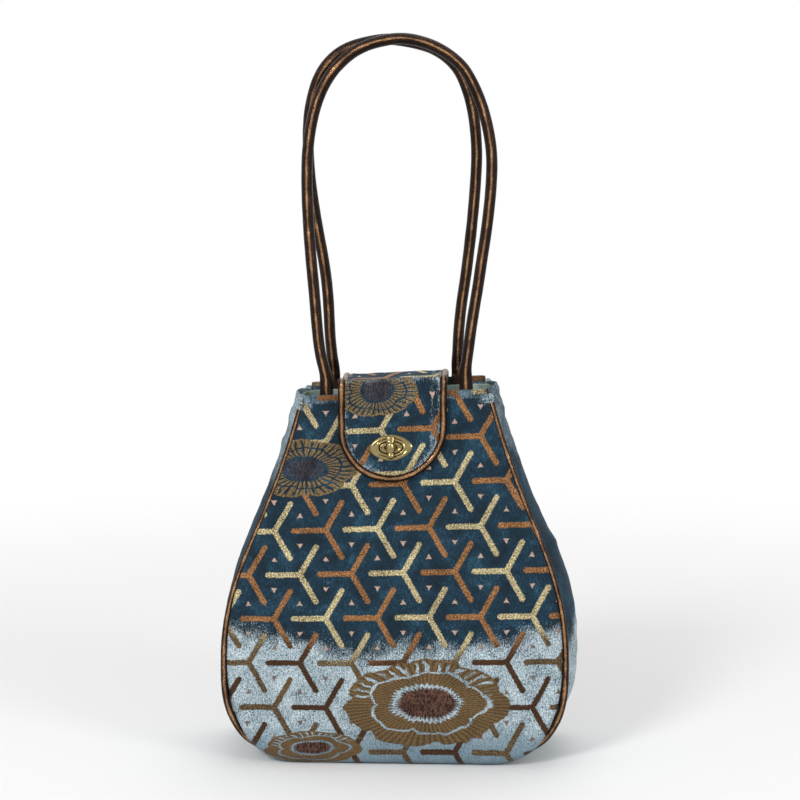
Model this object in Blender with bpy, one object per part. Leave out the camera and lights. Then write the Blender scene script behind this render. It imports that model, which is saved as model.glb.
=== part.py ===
"""A pear-shaped velvet handbag with a tab flap, a turn lock and two rolled handles.

Built in millimetres and scaled to metres once, in make(). X runs to the wearer's right as the bag
is seen from the front, -Y is the front and Z is up. The base rests on Z = 0.
"""
import math

import bpy
import numpy as np
from mathutils import Vector
from mathutils.geometry import delaunay_2d_cdt

MM = 0.001

# Driving dimensions, in millimetres and degrees.
BAG_HEIGHT = 301.0  # front rim above the table
BACK_RISE = 4.0  # back rim above the front rim
BELLY_HALF_WIDTH = 136.5  # widest seam from the middle
BELLY_Z = 84.0
MOUTH_HALF_WIDTH = 74.0
BASE_HALF_WIDTH = 78.0
SEAM_Z = 5.0  # bottom seam above the table
MOUTH_HALF_DEPTH = 26.0
BELLY_HALF_DEPTH = 46.0
BASE_HALF_DEPTH = 38.0
BELLY_BULGE = 15.0  # panel in front of its seam
MOUTH_BULGE = 2.4
PANEL_THICK = 3.0
GUSSET_THICK = 2.6
GUSSET_BULGE = 3.4
LINING_THICK = 1.2
PIPING_RADIUS = 2.4
SEAT = 0.3  # gap between two pieces that touch
PLAY = 0.25  # more of it where one of the two is curved
TOP_TILT = 2.5  # the mouth rises to the right
BOARD_THICK = 2.4
LINING_EASE = 1.3  # how loosely the lining hangs inside the shell

FLAP_X = -1.9
FLAP_HALF_WIDTH = 43.6
FLAP_END_Z = BAG_HEIGHT - 72.0
FLAP_THICK = 2.2
FLAP_LINING_THICK = 1.2
FLAP_PIPING_RADIUS = 3.0
FLAP_SEAM_DROP = 21.0  # seam on the back panel, below the back rim
FLAP_LIFT = 3.8  # middle of the flap off the panel

LOCK_Z = BAG_HEIGHT - 44.2
LOCK_X = -2.9
EYE_HALF_LENGTH = 16.5
EYE_HALF_HEIGHT = 9.7
EYE_THICK = 1.7
BACKING_THICK = 0.8
LOCK_BASE_THICK = 1.2
SLOT_HALF_LENGTH = 9.5
SLOT_HALF_HEIGHT = 5.0
BOSS_CLEARANCE = 0.6
KNOB_HALF_HEIGHT = 9.2
KNOB_RADIUS = 3.7
STEM_RADIUS = 2.0

HANDLE_RADIUS = 4.6
HANDLE_HEIGHT = 274.0  # crown above the hinge line
HINGE_RISE = 6.0  # hinge line above the rim
ROOT_HALF_WIDTH = 5.4
ROOT_HALF_THICK = 2.2
ROOT_LENGTH = 17.0
TAB_THICK = 2.4
TAB_DEPTH = 22.0
CROWN_GAP = 0.9  # between the two handles where they cross
FRONT_ROOTS = (-55.4, 56.5)
BACK_ROOTS = (-53.4, 49.4)

LATTICE = 41.2  # distance between the junctions of the three-armed motif
LATTICE_AT = (-77.4, 154.4)
ARM_LENGTH = 28.0
ARM_WIDTH = 5.0

# Each arch as (share of the height, X on the left, X on the right) above its two roots.
FRONT_ARCH = (
    (0.10, -59.5, 59.5), (0.22, -63.5, 63.5), (0.34, -67.2, 67.8), (0.46, -69.8, 72.6),
    (0.58, -71.2, 75.8), (0.68, -70.6, 75.8), (0.78, -66.4, 70.6), (0.86, -58.8, 62.4),
    (0.925, -46.8, 51.6), (0.975, -29.0, 33.0), (1.0, -6.0, 12.0),
)
BACK_ARCH = (
    (0.10, -54.8, 50.6), (0.22, -56.6, 53.2), (0.34, -60.6, 57.0), (0.46, -66.2, 60.6),
    (0.58, -70.6, 63.2), (0.68, -72.2, 64.0), (0.78, -71.0, 61.4), (0.86, -66.2, 55.8),
    (0.925, -57.4, 46.8), (0.975, -41.0, 29.0), (1.0, -16.0, 2.0),
)


def smooth(t):
    t = np.clip(t, 0.0, 1.0)
    return t * t * (3.0 - 2.0 * t)


def bezier(points, count):
    p = np.array(points, float)
    t = np.linspace(0.0, 1.0, count)[:, None]
    u = 1.0 - t
    return u**3 * p[0] + 3 * u * u * t * p[1] + 3 * u * t * t * p[2] + t**3 * p[3]


def resample(points, step):
    points = np.asarray(points, float)
    length = np.concatenate([[0.0], np.cumsum(np.linalg.norm(np.diff(points, axis=0), axis=1))])
    count = max(2, int(round(length[-1] / step)) + 1)
    at = np.linspace(0.0, length[-1], count)
    return np.stack([np.interp(at, length, points[:, k]) for k in range(points.shape[1])], axis=1)


def seam_curve():
    """The side and bottom seam seen from the front, from the top left down and up to the top right."""
    h = BAG_HEIGHT - BELLY_Z
    low = bezier(
        [
            (BASE_HALF_WIDTH, SEAM_Z),
            (BASE_HALF_WIDTH + 0.125 * BELLY_HALF_WIDTH, SEAM_Z),
            (BELLY_HALF_WIDTH, SEAM_Z + 0.10 * BELLY_Z),
            (BELLY_HALF_WIDTH, BELLY_Z),
        ],
        60,
    )
    high = bezier(
        [
            (BELLY_HALF_WIDTH, BELLY_Z),
            (BELLY_HALF_WIDTH, BELLY_Z + 0.386 * h),
            (MOUTH_HALF_WIDTH + 0.131 * h, BAG_HEIGHT - 0.523 * h),
            (MOUTH_HALF_WIDTH, BAG_HEIGHT),
        ],
        80,
    )
    lip = high[-1] + (high[-1] - high[-2]) / np.linalg.norm(high[-1] - high[-2]) * 14.0
    right = np.concatenate([[(0.0, SEAM_Z)], low, high[1:], [lip]])
    right = resample(right, 3.0)
    left = right[::-1][:-1] * (-1.0, 1.0)
    return np.concatenate([left, right])


SEAM = seam_curve()
SEAM_DIR = np.gradient(SEAM, axis=0)
SEAM_DIR /= np.linalg.norm(SEAM_DIR, axis=1)[:, None]
SEAM_IN = np.stack([-SEAM_DIR[:, 1], SEAM_DIR[:, 0]], axis=1)  # towards the middle of the panel


def nearest_seam(xz):
    """For each point, the nearest seam point, the inward direction there and the distance inside."""
    a = SEAM[:-1]
    d = SEAM[1:] - a
    rel = xz[:, None, :] - a[None]
    t = np.clip((rel * d[None]).sum(2) / (d * d).sum(1)[None], 0.0, 1.0)
    foot = a[None] + t[..., None] * d[None]
    dist = np.linalg.norm(xz[:, None, :] - foot, axis=2)
    i = dist.argmin(1)
    row = np.arange(len(xz))
    s = t[row, i][:, None]
    n = SEAM_IN[i] * (1.0 - s) + SEAM_IN[i + 1] * s
    n /= np.linalg.norm(n, axis=1)[:, None]
    near = foot[row, i]
    return near, n, np.where(((xz - near) * n).sum(1) < 0, -1.0, 1.0) * dist[row, i]


def half_width(z):
    right = SEAM[len(SEAM) // 2 :]
    keep = np.concatenate([[True], np.diff(right[:, 1]) > 1e-6])
    return np.interp(z, right[keep, 1], right[keep, 0])


def half_depth(z):
    """Distance of the seams from the middle plane of the bag."""
    low = BASE_HALF_DEPTH + (BELLY_HALF_DEPTH - BASE_HALF_DEPTH) * np.sin(
        np.clip(z / BELLY_Z, 0.0, 1.0) * math.pi / 2
    )
    t = np.clip((z - BELLY_Z) / (BAG_HEIGHT - BELLY_Z), 0.0, 1.15)
    high = MOUTH_HALF_DEPTH + (BELLY_HALF_DEPTH - MOUTH_HALF_DEPTH) * (
        0.5 + 0.5 * np.cos(math.pi * np.minimum(t, 1.0))
    )
    return np.where(z < BELLY_Z, low, high)


ROLL_SIDE = (math.radians(50.0), 8.0)  # how a panel leaves the piping, and the radius of its roll
ROLL_UNDER = (math.radians(-35.0), 7.5)


def roll(nz):
    k = smooth(nz)
    return (
        ROLL_SIDE[0] + (ROLL_UNDER[0] - ROLL_SIDE[0]) * k,
        ROLL_SIDE[1] + (ROLL_UNDER[1] - ROLL_SIDE[1]) * k,
    )


def bulge(x, z):
    side = 3.6
    t = np.clip((z - BELLY_Z) / (BAG_HEIGHT - BELLY_Z), 0.0, 1.0)
    middle = MOUTH_BULGE + (BELLY_BULGE - MOUTH_BULGE) * (0.5 + 0.5 * np.cos(math.pi * t))
    reach = np.where(z < BELLY_Z, BELLY_HALF_WIDTH, half_width(z))
    return side + (middle - side) * np.clip(1.0 - (np.abs(x) / reach) ** 2.4, 0.0, 1.0)


def roll_span(nz):
    """Where a panel's flat pattern begins and where its roll ends, as distances inside the seam."""
    start, radius = roll(nz)
    hold = PIPING_RADIUS + SEAT + PLAY
    end = hold * np.sin(start) + radius * np.cos(start)
    return end - radius * (math.pi / 2 - start), end


def panel_middle(xz, side):
    """The middle surface of the front (side -1) or back (+1) panel, before the mouth is tilted.

    The flat pattern is the view from the front, with the rolled edge unrolled around it.
    """
    xz = np.asarray(xz, float)
    foot, n, d = nearest_seam(xz)
    start, radius = roll(n[:, 1])
    begin, in_end = roll_span(n[:, 1])
    hold = PIPING_RADIUS + SEAT + PLAY
    out_end = hold * np.cos(start) + radius * (1.0 - np.sin(start))
    t = np.clip((d - begin) / (in_end - begin), 0.0, 1.0)
    angle = start + (math.pi / 2 - start) * t
    out = hold * np.cos(start) + radius * (np.sin(angle) - np.sin(start))
    inward = hold * np.sin(start) + radius * (np.cos(start) - np.cos(angle))
    k = smooth((d - in_end) / 24.0)
    out = np.where(d < in_end, out, out_end * (1 - k) + bulge(xz[:, 0], xz[:, 1]) * k)
    inside = (d < in_end)[:, None]
    flat = np.where(inside, foot + n * inward[:, None], xz)
    return np.stack([flat[:, 0], side * (half_depth(flat[:, 1]) + out), flat[:, 1]], axis=1)


def tilt(p):
    """Raises the right of the mouth and lowers its left, and leaves the base as it is."""
    p = np.array(p, float)
    share = smooth((p[..., 2] - 40.0) / (BAG_HEIGHT - 40.0))
    p[..., 2] += p[..., 0] * math.tan(math.radians(TOP_TILT)) * share
    return p


def normals(place, uv, outward):
    e = 0.05
    uv = np.asarray(uv, float)
    du = place(uv + (e, 0.0)) - place(uv - (e, 0.0))
    dv = place(uv + (0.0, e)) - place(uv - (0.0, e))
    n = np.cross(du, dv)
    n /= np.maximum(np.linalg.norm(n, axis=1), 1e-12)[:, None]
    return n * outward


def panel_surface(xz, side, offset):
    """Points at an offset from a panel's middle surface; the offset grows outwards."""

    def place(q):
        return panel_middle(q, side)

    n = normals(place, xz, 1.0 if side < 0 else -1.0)
    return panel_middle(xz, side) + n * np.reshape(offset, (-1, 1))


def lock_frame():
    """Origin on the front panel's face, then right, up and outward."""
    e = 0.5
    q = np.array([(LOCK_X, LOCK_Z), (LOCK_X + e, LOCK_Z), (LOCK_X, LOCK_Z + e)])
    p = tilt(panel_surface(q, -1, PANEL_THICK / 2))
    right = (p[1] - p[0]) / np.linalg.norm(p[1] - p[0])
    up = p[2] - p[0]
    up -= right * (up @ right)
    up /= np.linalg.norm(up)
    return p[0], right, up, np.cross(right, up)


LOCK_O, LOCK_R, LOCK_U, LOCK_N = lock_frame()
BASE_C = (SEAT, SEAT + LOCK_BASE_THICK)
BACKING_C = (BASE_C[1] + SEAT, BASE_C[1] + SEAT + BACKING_THICK)
FLAP_LINING_C = (BACKING_C[1] + SEAT, BACKING_C[1] + SEAT + FLAP_LINING_THICK)
FLAP_C = (FLAP_LINING_C[1] + SEAT, FLAP_LINING_C[1] + SEAT + FLAP_THICK)
EYE_C = (FLAP_C[1] + SEAT, FLAP_C[1] + SEAT + EYE_THICK)
BOSS_TOP = EYE_C[1] + 0.6
FLAP_MIDDLE_C = (FLAP_LINING_C[0] + FLAP_C[1]) / 2
STACK = FLAP_C[1] - FLAP_LINING_C[0]


def flatten(p, level):
    """Presses a surface flat under the lock."""
    rel = p - LOCK_O
    a = np.abs(rel @ LOCK_R) / (EYE_HALF_LENGTH + 1.5)
    b = np.abs(rel @ LOCK_U) / (EYE_HALF_HEIGHT + 1.5)
    k = smooth((1.9 - np.maximum(a, b)) / 0.9)
    return p + LOCK_N * ((level - rel @ LOCK_N) * k)[:, None]


def inside(points, polygon):
    x, y = points[:, 0][:, None], points[:, 1][:, None]
    a = np.asarray(polygon, float)
    b = np.roll(a, -1, axis=0)
    cross = (a[:, 1] > y) != (b[:, 1] > y)
    with np.errstate(divide="ignore", invalid="ignore"):
        at = a[:, 0] + (y - a[:, 1]) / (b[:, 1] - a[:, 1]) * (b[:, 0] - a[:, 0])
    return (cross & (x < at)).sum(1) % 2 == 1


def spread(points, others, least):
    """The points that keep a distance from the others."""
    if not len(points) or not len(others):
        return points
    d = np.linalg.norm(points[:, None] - np.asarray(others)[None], axis=2).min(1)
    return points[d > least]


def field(outline, holes, extra, polygons):
    """Triangles over an outline; returns points, faces and the polygon that each face lies in."""
    loops = [np.asarray(outline, float)] + [np.asarray(h, float) for h in holes]
    loops += [np.asarray(p, float) for p in polygons]
    points, edges, first = [], [], 0
    for loop in loops:
        points += [tuple(q) for q in loop]
        edges += [(first + i, first + (i + 1) % len(loop)) for i in range(len(loop))]
        first += len(loop)
    points += [tuple(q) for q in extra]
    found = delaunay_2d_cdt([Vector(q) for q in points], edges, [], 0, 1e-5, True)
    flat = np.array([tuple(v) for v in found[0]])
    faces = np.array([f for f in found[2] if len(f) == 3])
    middle = flat[faces].mean(axis=1)
    keep = inside(middle, outline)
    for hole in holes:
        keep &= ~inside(middle, hole)
    faces, middle = faces[keep], middle[keep]
    area = np.cross(flat[faces[:, 1]] - flat[faces[:, 0]], flat[faces[:, 2]] - flat[faces[:, 0]])
    faces[area < 0] = faces[area < 0][:, ::-1]
    tag = np.full(len(faces), -1)
    for k, polygon in enumerate(polygons):
        tag[inside(middle, polygon)] = k
    where = {}
    for i, sources in enumerate(found[3]):
        for s in sources:
            where[s] = i
    count = sum(len(loop) for loop in loops[: 1 + len(holes)])
    return flat, faces, tag, [where[i] for i in range(count)]


def grid(low, high, step):
    x = np.arange(low[0], high[0], step)
    z = np.arange(low[1], high[1], step * 0.9)
    rows = [np.stack([x + (step / 2 if i % 2 else 0.0), np.full(len(x), v)], 1) for i, v in enumerate(z)]
    return np.concatenate(rows)


def cloth(outline, holes, place, outer, inner, outward, outer_extra, inner_extra, motifs=()):
    """One closed sheet between two offsets of a surface, with motifs as fields of colour."""
    polygons = [m[0] for m in motifs]
    flat_o, faces_o, tag, rim_o = field(outline, holes, outer_extra, polygons)
    flat_i, faces_i, _, rim_i = field(outline, holes, inner_extra, [])
    top = place(flat_o) + normals(place, flat_o, outward) * outer
    bottom = place(flat_i) + normals(place, flat_i, outward) * inner
    verts = np.concatenate([top, bottom])
    shift = len(top)
    if outward < 0:
        faces_o, faces_i = faces_o[:, ::-1], faces_i[:, ::-1]
    faces = [tuple(f) for f in faces_o]
    slots = [0 if t < 0 else motifs[t][1] for t in tag]
    faces += [tuple(shift + f[::-1]) for f in faces_i]
    slots += [0] * len(faces_i)
    sizes = [len(outline)] + [len(h) for h in holes]
    start = 0
    for k, size in enumerate(sizes):
        loop = np.array(outline if k == 0 else holes[k - 1])
        nxt = np.roll(loop, -1, axis=0)
        turning = (loop[:, 0] * nxt[:, 1] - nxt[:, 0] * loop[:, 1]).sum() > 0
        for i in range(size):
            j = (i + 1) % size
            a, b = rim_o[start + i], rim_o[start + j]
            c, d = shift + rim_i[start + j], shift + rim_i[start + i]
            wall = (b, a, d, c)
            if (k > 0) == turning:
                wall = wall[::-1]
            faces.append(wall if outward > 0 else wall[::-1])
            slots.append(0)
        start += size
    return verts, faces, slots


def material(name, colour, rough, metal=0.0, sheen=0.0):
    mat = bpy.data.materials.new(name)
    mat.use_nodes = True
    shader = mat.node_tree.nodes["Principled BSDF"]
    shader.inputs["Base Color"].default_value = (*colour, 1.0)
    shader.inputs["Roughness"].default_value = rough
    shader.inputs["Metallic"].default_value = metal
    shader.inputs["Sheen Weight"].default_value = sheen
    mat.diffuse_color = (*colour, 1.0)
    return mat


def make(name, verts, faces, mats, slots=None, round_shaded=True, origin=None):
    """An object from millimetre vertices, with its origin at a millimetre point."""
    at = np.zeros(3) if origin is None else np.asarray(origin, float)
    mesh = bpy.data.meshes.new(name)
    mesh.from_pydata([tuple(v) for v in (np.asarray(verts) - at) * MM], [], [tuple(map(int, f)) for f in faces])
    for mat in mats:
        mesh.materials.append(mat)
    if slots is not None:
        mesh.polygons.foreach_set("material_index", [int(s) for s in slots])
    mesh.polygons.foreach_set("use_smooth", [round_shaded] * len(mesh.polygons))
    mesh.update()
    ob = bpy.data.objects.new(name, mesh)
    ob.location = tuple(at * MM)
    bpy.context.scene.collection.objects.link(ob)
    return ob


def rings_body(rings):
    """A closed body through rings of the same count, with a fan over each end."""
    count = len(rings[0])
    verts = [q for ring in rings for q in ring]
    faces = []
    for i in range(len(rings) - 1):
        for k in range(count):
            n = (k + 1) % count
            a, b = i * count, (i + 1) * count
            faces.append((a + k, a + n, b + n, b + k))
    verts.append(np.mean(rings[0], axis=0))
    verts.append(np.mean(rings[-1], axis=0))
    last = (len(rings) - 1) * count
    for k in range(count):
        n = (k + 1) % count
        faces.append((len(verts) - 2, n, k))
        faces.append((len(verts) - 1, last + k, last + n))
    return np.array(verts), faces


def outward_faces(verts, faces):
    """Turns every face over if the body encloses a negative volume."""
    total = 0.0
    for f in faces:
        for k in range(1, len(f) - 1):
            a, b, c = verts[f[0]], verts[f[k]], verts[f[k + 1]]
            total += np.dot(a, np.cross(b, c))
    return faces if total > 0 else [tuple(f)[::-1] for f in faces]


def tube(path, radius, sides):
    """A round cord along a path, with rings square to it."""
    path = np.asarray(path, float)
    tangent = np.gradient(path, axis=0)
    tangent /= np.linalg.norm(tangent, axis=1)[:, None]
    side = np.cross(tangent[0], (0.0, 1.0, 0.0))
    if np.linalg.norm(side) < 0.2:
        side = np.cross(tangent[0], (1.0, 0.0, 0.0))
    rings = []
    for p, t in zip(path, tangent):
        side = side - t * (side @ t)
        side /= np.linalg.norm(side)
        other = np.cross(t, side)
        angle = np.arange(sides) * 2 * math.pi / sides
        rings.append(p + radius * (np.outer(np.cos(angle), side) + np.outer(np.sin(angle), other)))
    verts, faces = rings_body(rings)
    return verts, outward_faces(verts, faces)


def panel_outline(rim):
    """Flat outline of a panel, counter-clockwise, with its rim at the given height."""
    edge = SEAM + SEAM_IN * roll_span(SEAM_IN[:, 1])[0][:, None]
    below = edge[edge[:, 1] < rim - 4.0]
    right = below[below[:, 0] >= 0]
    top = right[-1]
    nxt = edge[(edge[:, 0] > 0) & (edge[:, 1] >= rim - 4.0)][0]
    at = top + (nxt - top) * (rim - top[1]) / max(nxt[1] - top[1], 1e-6)
    side = resample(below, 11.0)
    across = np.linspace(at[0], -at[0], 13)
    return np.concatenate([side, np.stack([across, np.full(13, rim)], 1)])


def rows_inside(shares, step, rim):
    """Points at set shares of the roll's width, so that the rolled edge of a panel is round."""
    begin, end = roll_span(SEAM_IN[:, 1])
    out = []
    for k, share in enumerate(shares):
        row = resample(SEAM + SEAM_IN * (begin + (end - begin) * share)[:, None], step)
        if k % 2 == 0:
            row = (row[1:] + row[:-1]) / 2
        out.append(row[row[:, 1] < rim - 4.0])
    row = resample(SEAM + SEAM_IN * (end + 8.0)[:, None], step * 1.2)
    out.append(row[row[:, 1] < rim - 4.0])
    return np.concatenate(out)


def room(xz):
    """How far a pattern point lies inside the edge of its panel."""
    _, n, d = nearest_seam(np.asarray(xz, float))
    return d - roll_span(n[:, 1])[0]


def arm_polygon(a, b, width):
    a, b = np.array(a, float), np.array(b, float)
    d = (b - a) / np.linalg.norm(b - a)
    n = np.array([-d[1], d[0]]) * width / 2
    return [a - n, b - n * 0.8, b + d * width * 0.28, b + n * 0.8, a + n]


def clear_part(a, b, allowed, step=1.5):
    """The part of a line that stays on the cloth, or None if less than a few millimetres does."""
    a, b = np.array(a, float), np.array(b, float)
    count = int(np.linalg.norm(b - a) / step) + 2
    line = a + (b - a) * np.linspace(0, 1, count)[:, None]
    good = allowed(line)
    best, i = None, 0
    while i < count:
        j = i
        while j < count and good[j]:
            j += 1
        if j - i > 1 and (best is None or j - i > best[1] - best[0]):
            best = (i, j)
        i = j + 1
    if best is None or (best[1] - best[0]) * step < 6.0:
        return None
    return line[best[0]], line[best[1] - 1]


def lattice_motifs(low, high, allowed, slots):
    """The traditional three-armed motif on a triangular lattice, alternating in two colours."""
    out = []
    rise = LATTICE * math.sqrt(3) / 2
    rows = int((high[1] - low[1]) / rise) + 3
    for r in range(-rows, rows):
        for c in range(-12, 13):
            x = LATTICE_AT[0] + LATTICE * (c + r / 2)
            z = LATTICE_AT[1] + rise * r
            if not (low[0] - 30 < x < high[0] + 30 and low[1] - 30 < z < high[1] + 30):
                continue
            slot = slots[(c + r) % 2]
            for k, degrees in enumerate((180.0, 60.0, -60.0)):
                t = math.radians(degrees)
                d = np.array([math.cos(t), math.sin(t)])
                start = np.array([x, z]) + d * (0.0 if k == 0 else ARM_WIDTH * 0.75)
                part = clear_part(start, np.array([x, z]) + d * ARM_LENGTH, allowed)
                if part is not None:
                    out.append((arm_polygon(part[0], part[1], ARM_WIDTH), slot))
    return out


def flower(centre, half_width_, half_height, petals, turn=0.0):
    """A plain rounded blossom outline."""
    angle = np.linspace(0, 2 * math.pi, petals * 4, endpoint=False)
    r = 0.86 + 0.14 * np.cos(petals * angle)
    x = centre[0] + half_width_ * r * np.cos(angle + turn)
    z = centre[1] + half_height * r * np.sin(angle + turn)
    return np.stack([x, z], axis=1)


def oval(half_length, half_height, count, power=2.0):
    t = np.arange(count) * 2 * math.pi / count
    c, s = np.cos(t), np.sin(t)
    return np.stack(
        [
            half_length * np.sign(c) * np.abs(c) ** (2 / power),
            half_height * np.sign(s) * np.abs(s) ** (2 / power),
        ],
        axis=1,
    )


LOCK_PAD = np.concatenate(
    [oval(EYE_HALF_LENGTH + g, EYE_HALF_HEIGHT + g, 10) + (LOCK_X, LOCK_Z) for g in (-4.0, 3.0)]
)


def panel(name, side, rim, mats, motif_list):
    outline = panel_outline(rim)
    polygons = [q for m in motif_list for q in m[0]]
    rows = rows_inside((0.33, 0.67, 1.0), 11.0, rim)
    body = grid((-140.0, 12.0), (140.0, rim - 8.0), 19.0)
    body = body[inside(body, outline)]
    body = body[nearest_seam(body)[2] > 22.0]
    fine = np.concatenate([rows, body])
    fine = spread(fine, polygons, 4.0) if len(polygons) else fine
    if side < 0:
        fine = np.concatenate([spread(fine, LOCK_PAD, 5.0), LOCK_PAD])
    coarse_rows = rows_inside((0.33, 0.67, 1.0), 16.0, rim)
    coarse = grid((-140.0, 16.0), (140.0, rim - 12.0), 27.0)
    coarse = coarse[inside(coarse, outline)]
    coarse = coarse[nearest_seam(coarse)[2] > 24.0]

    def place(q):
        p = tilt(panel_middle(q, side))
        return flatten(p, -PANEL_THICK / 2) if side < 0 else p

    verts, faces, slots = cloth(
        outline, [], place, PANEL_THICK / 2, -PANEL_THICK / 2, 1.0 if side < 0 else -1.0,
        fine, np.concatenate([coarse_rows, coarse]), motif_list,
    )
    return make(name, verts, faces, mats, slots)


def gusset_middle(s, t):
    """The side and bottom strip: s picks a seam point and t runs across, from -1 to 1."""
    p, n = SEAM[s], SEAM_IN[s]
    depth = half_depth(p[1]) - PIPING_RADIUS - SEAT - PLAY
    under = float(smooth(n[1] * 1.6 - 0.5))
    flat = 1.0 - max(0.0, (abs(t) - 0.7) / 0.3) ** 2
    rise = smooth((p[1] - BELLY_Z) / (BAG_HEIGHT - BELLY_Z)) * 2.0
    puff = (GUSSET_BULGE + rise) * (1 - t * t) * (1 - under)
    puff += (SEAM_Z - GUSSET_THICK / 2) * flat * under
    xz = p - n * puff
    return np.array([xz[0], depth * t, xz[1]]), np.array([-n[0], 0.0, -n[1]])


def seam_picks(rim, step):
    """Seam samples below the rim, at about equal steps."""
    keep = np.nonzero(SEAM[:, 1] <= rim)[0]
    count = int(len(keep) * 3.0 / step)
    return np.unique(np.round(np.linspace(keep[0], keep[-1], count)).astype(int))


def gusset(mats):
    picks = seam_picks(BAG_HEIGHT + 1.0, 13.0)
    across = (-1.0, -0.86, -0.7, 0.0, 0.7, 0.86, 1.0)
    outer, inner = [], []
    for s in picks:
        row = [gusset_middle(s, t) for t in across]
        mid = np.array([r[0] for r in row])
        slope = np.gradient(mid, axis=0)
        along = np.array([SEAM_DIR[s][0], 0.0, SEAM_DIR[s][1]])
        n = np.cross(slope, along)
        n /= np.linalg.norm(n, axis=1)[:, None]
        n *= np.sign((n * row[0][1]).sum(1))[:, None]
        outer.append(mid + n * GUSSET_THICK / 2)
        inner.append(mid - n * GUSSET_THICK / 2)
    rings = [tilt(np.concatenate([o, i[::-1]])) for o, i in zip(outer, inner)]
    count, width = len(rings[0]), len(across)
    verts = np.concatenate(rings)
    faces = []
    for i in range(len(rings) - 1):
        for k in range(count):
            n = (k + 1) % count
            faces.append((i * count + k, i * count + n, (i + 1) * count + n, (i + 1) * count + k))
    for base, flip in ((0, False), ((len(rings) - 1) * count, True)):
        for k in range(width - 1):
            quad = (base + k, base + count - 1 - k, base + count - 2 - k, base + k + 1)
            faces.append(quad[::-1] if flip else quad)
    return make("gusset", verts, outward_faces(verts, faces), mats)


def seam_piping(name, side, rim, mats):
    picks = seam_picks(rim - 3.0, 12.0)
    p = SEAM[picks]
    path = np.stack([p[:, 0], side * half_depth(p[:, 1]), p[:, 1]], axis=1)
    verts, faces = tube(tilt(path), PIPING_RADIUS, 6)
    return make(name, verts, faces, mats)


LINING_SHARES = (-1.0, -0.97, -0.62, -0.4, -0.15, 0.15, 0.4, 0.62, 0.97, 1.0)


def offset_half_width(z, inset):
    """Half the width between the seams at a height, measured inside them."""
    curve = (SEAM + SEAM_IN * inset)[len(SEAM) // 2 :]
    keep = np.concatenate([[True], np.diff(curve[:, 1]) > 1e-6])
    return float(np.interp(z, curve[keep, 1], curve[keep, 0]))


def lining_loop(z, inset, rim_share):
    """One level of the lining, clear of the panels, the gusset, the piping and the handle tabs."""
    w = float(half_width(z))
    depth = float(half_depth(z))
    run = max(w - 10.0, 20.0)
    low = float(smooth((z - 12.0) / 30.0))
    loop = []
    for side in (-1, 1):
        row = []
        for f in LINING_SHARES:
            deep = PANEL_THICK / 2 + SEAT + inset + 0.9 * (1.0 - low)
            if abs(f) > 0.5:
                deep += rim_share * (TAB_THICK + SEAT + PLAY)
            q = panel_surface(np.array([(f * run, z)]), side, -deep)[0]
            row.append((f * run, q[1], z))
        loop += row if side < 0 else row[::-1]
        bow = GUSSET_BULGE + 2.0 * float(smooth((z - BELLY_Z) / (BAG_HEIGHT - BELLY_Z)))
        wall = offset_half_width(z, GUSSET_THICK / 2 + SEAT + inset)
        for t in (-0.72, 0.0, 0.72):
            loop.append((-side * (wall + low * bow * (1 - t * t)), -side * depth * t, z))
    return np.array(loop)


def lining(mats):
    """An open bag of thin cloth that hangs inside the shell."""
    top = BAG_HEIGHT - 2.0
    floor_z = GUSSET_THICK + BOARD_THICK + 3 * SEAT + 0.2
    levels = [floor_z + 7.0, floor_z + 16.0] + list(np.linspace(floor_z + 36.0, top - 50.0, 7))
    levels += [top - 32.0, top - 25.0, top - 10.0, top]

    def level(z, inset):
        share = 1.0 if z > top - 27.0 else 0.0
        return tilt(lining_loop(z, inset, share))

    def foot(loop, inset, z):
        """The lowest loop, drawn in between the two bottom pipings."""
        out = loop.copy()
        x_limit = BASE_HALF_WIDTH + 1.0 - inset
        y_limit = BASE_HALF_DEPTH - PIPING_RADIUS - SEAT - 1.4 - inset
        out[:, 0] *= x_limit / np.abs(out[:, 0]).max()
        out[:, 1] *= y_limit / np.abs(out[:, 1]).max()
        out[:, 2] = z
        return out

    outer = [level(z, LINING_EASE) for z in levels]
    inner = [level(z, LINING_EASE + LINING_THICK) for z in levels]
    low = outer[0]
    foot_o = foot(outer[0], 0.0, floor_z)
    foot_i = foot(inner[0], LINING_THICK, floor_z + LINING_THICK)
    outer = [foot_o] + outer
    inner = [foot_i] + inner
    count = len(low)
    verts = list(np.concatenate(outer)) + list(np.concatenate(inner))
    shift = len(outer) * count
    faces = []
    for i in range(len(outer) - 1):
        for k in range(count):
            n = (k + 1) % count
            a, b = i * count, (i + 1) * count
            faces.append((a + k, a + n, b + n, b + k))
            faces.append((shift + a + n, shift + a + k, shift + b + k, shift + b + n))
    last = (len(outer) - 1) * count
    for k in range(count):
        n = (k + 1) % count
        faces.append((last + k, last + n, shift + last + n, shift + last + k))
    verts.append(np.array((0.0, 0.0, floor_z)))
    verts.append(np.array((0.0, 0.0, floor_z + LINING_THICK)))
    for k in range(count):
        n = (k + 1) % count
        faces.append((len(verts) - 2, n, k))
        faces.append((len(verts) - 1, shift + k, shift + n))
    verts = np.array(verts)
    return make("lining", verts, outward_faces(verts, faces), mats)


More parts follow.
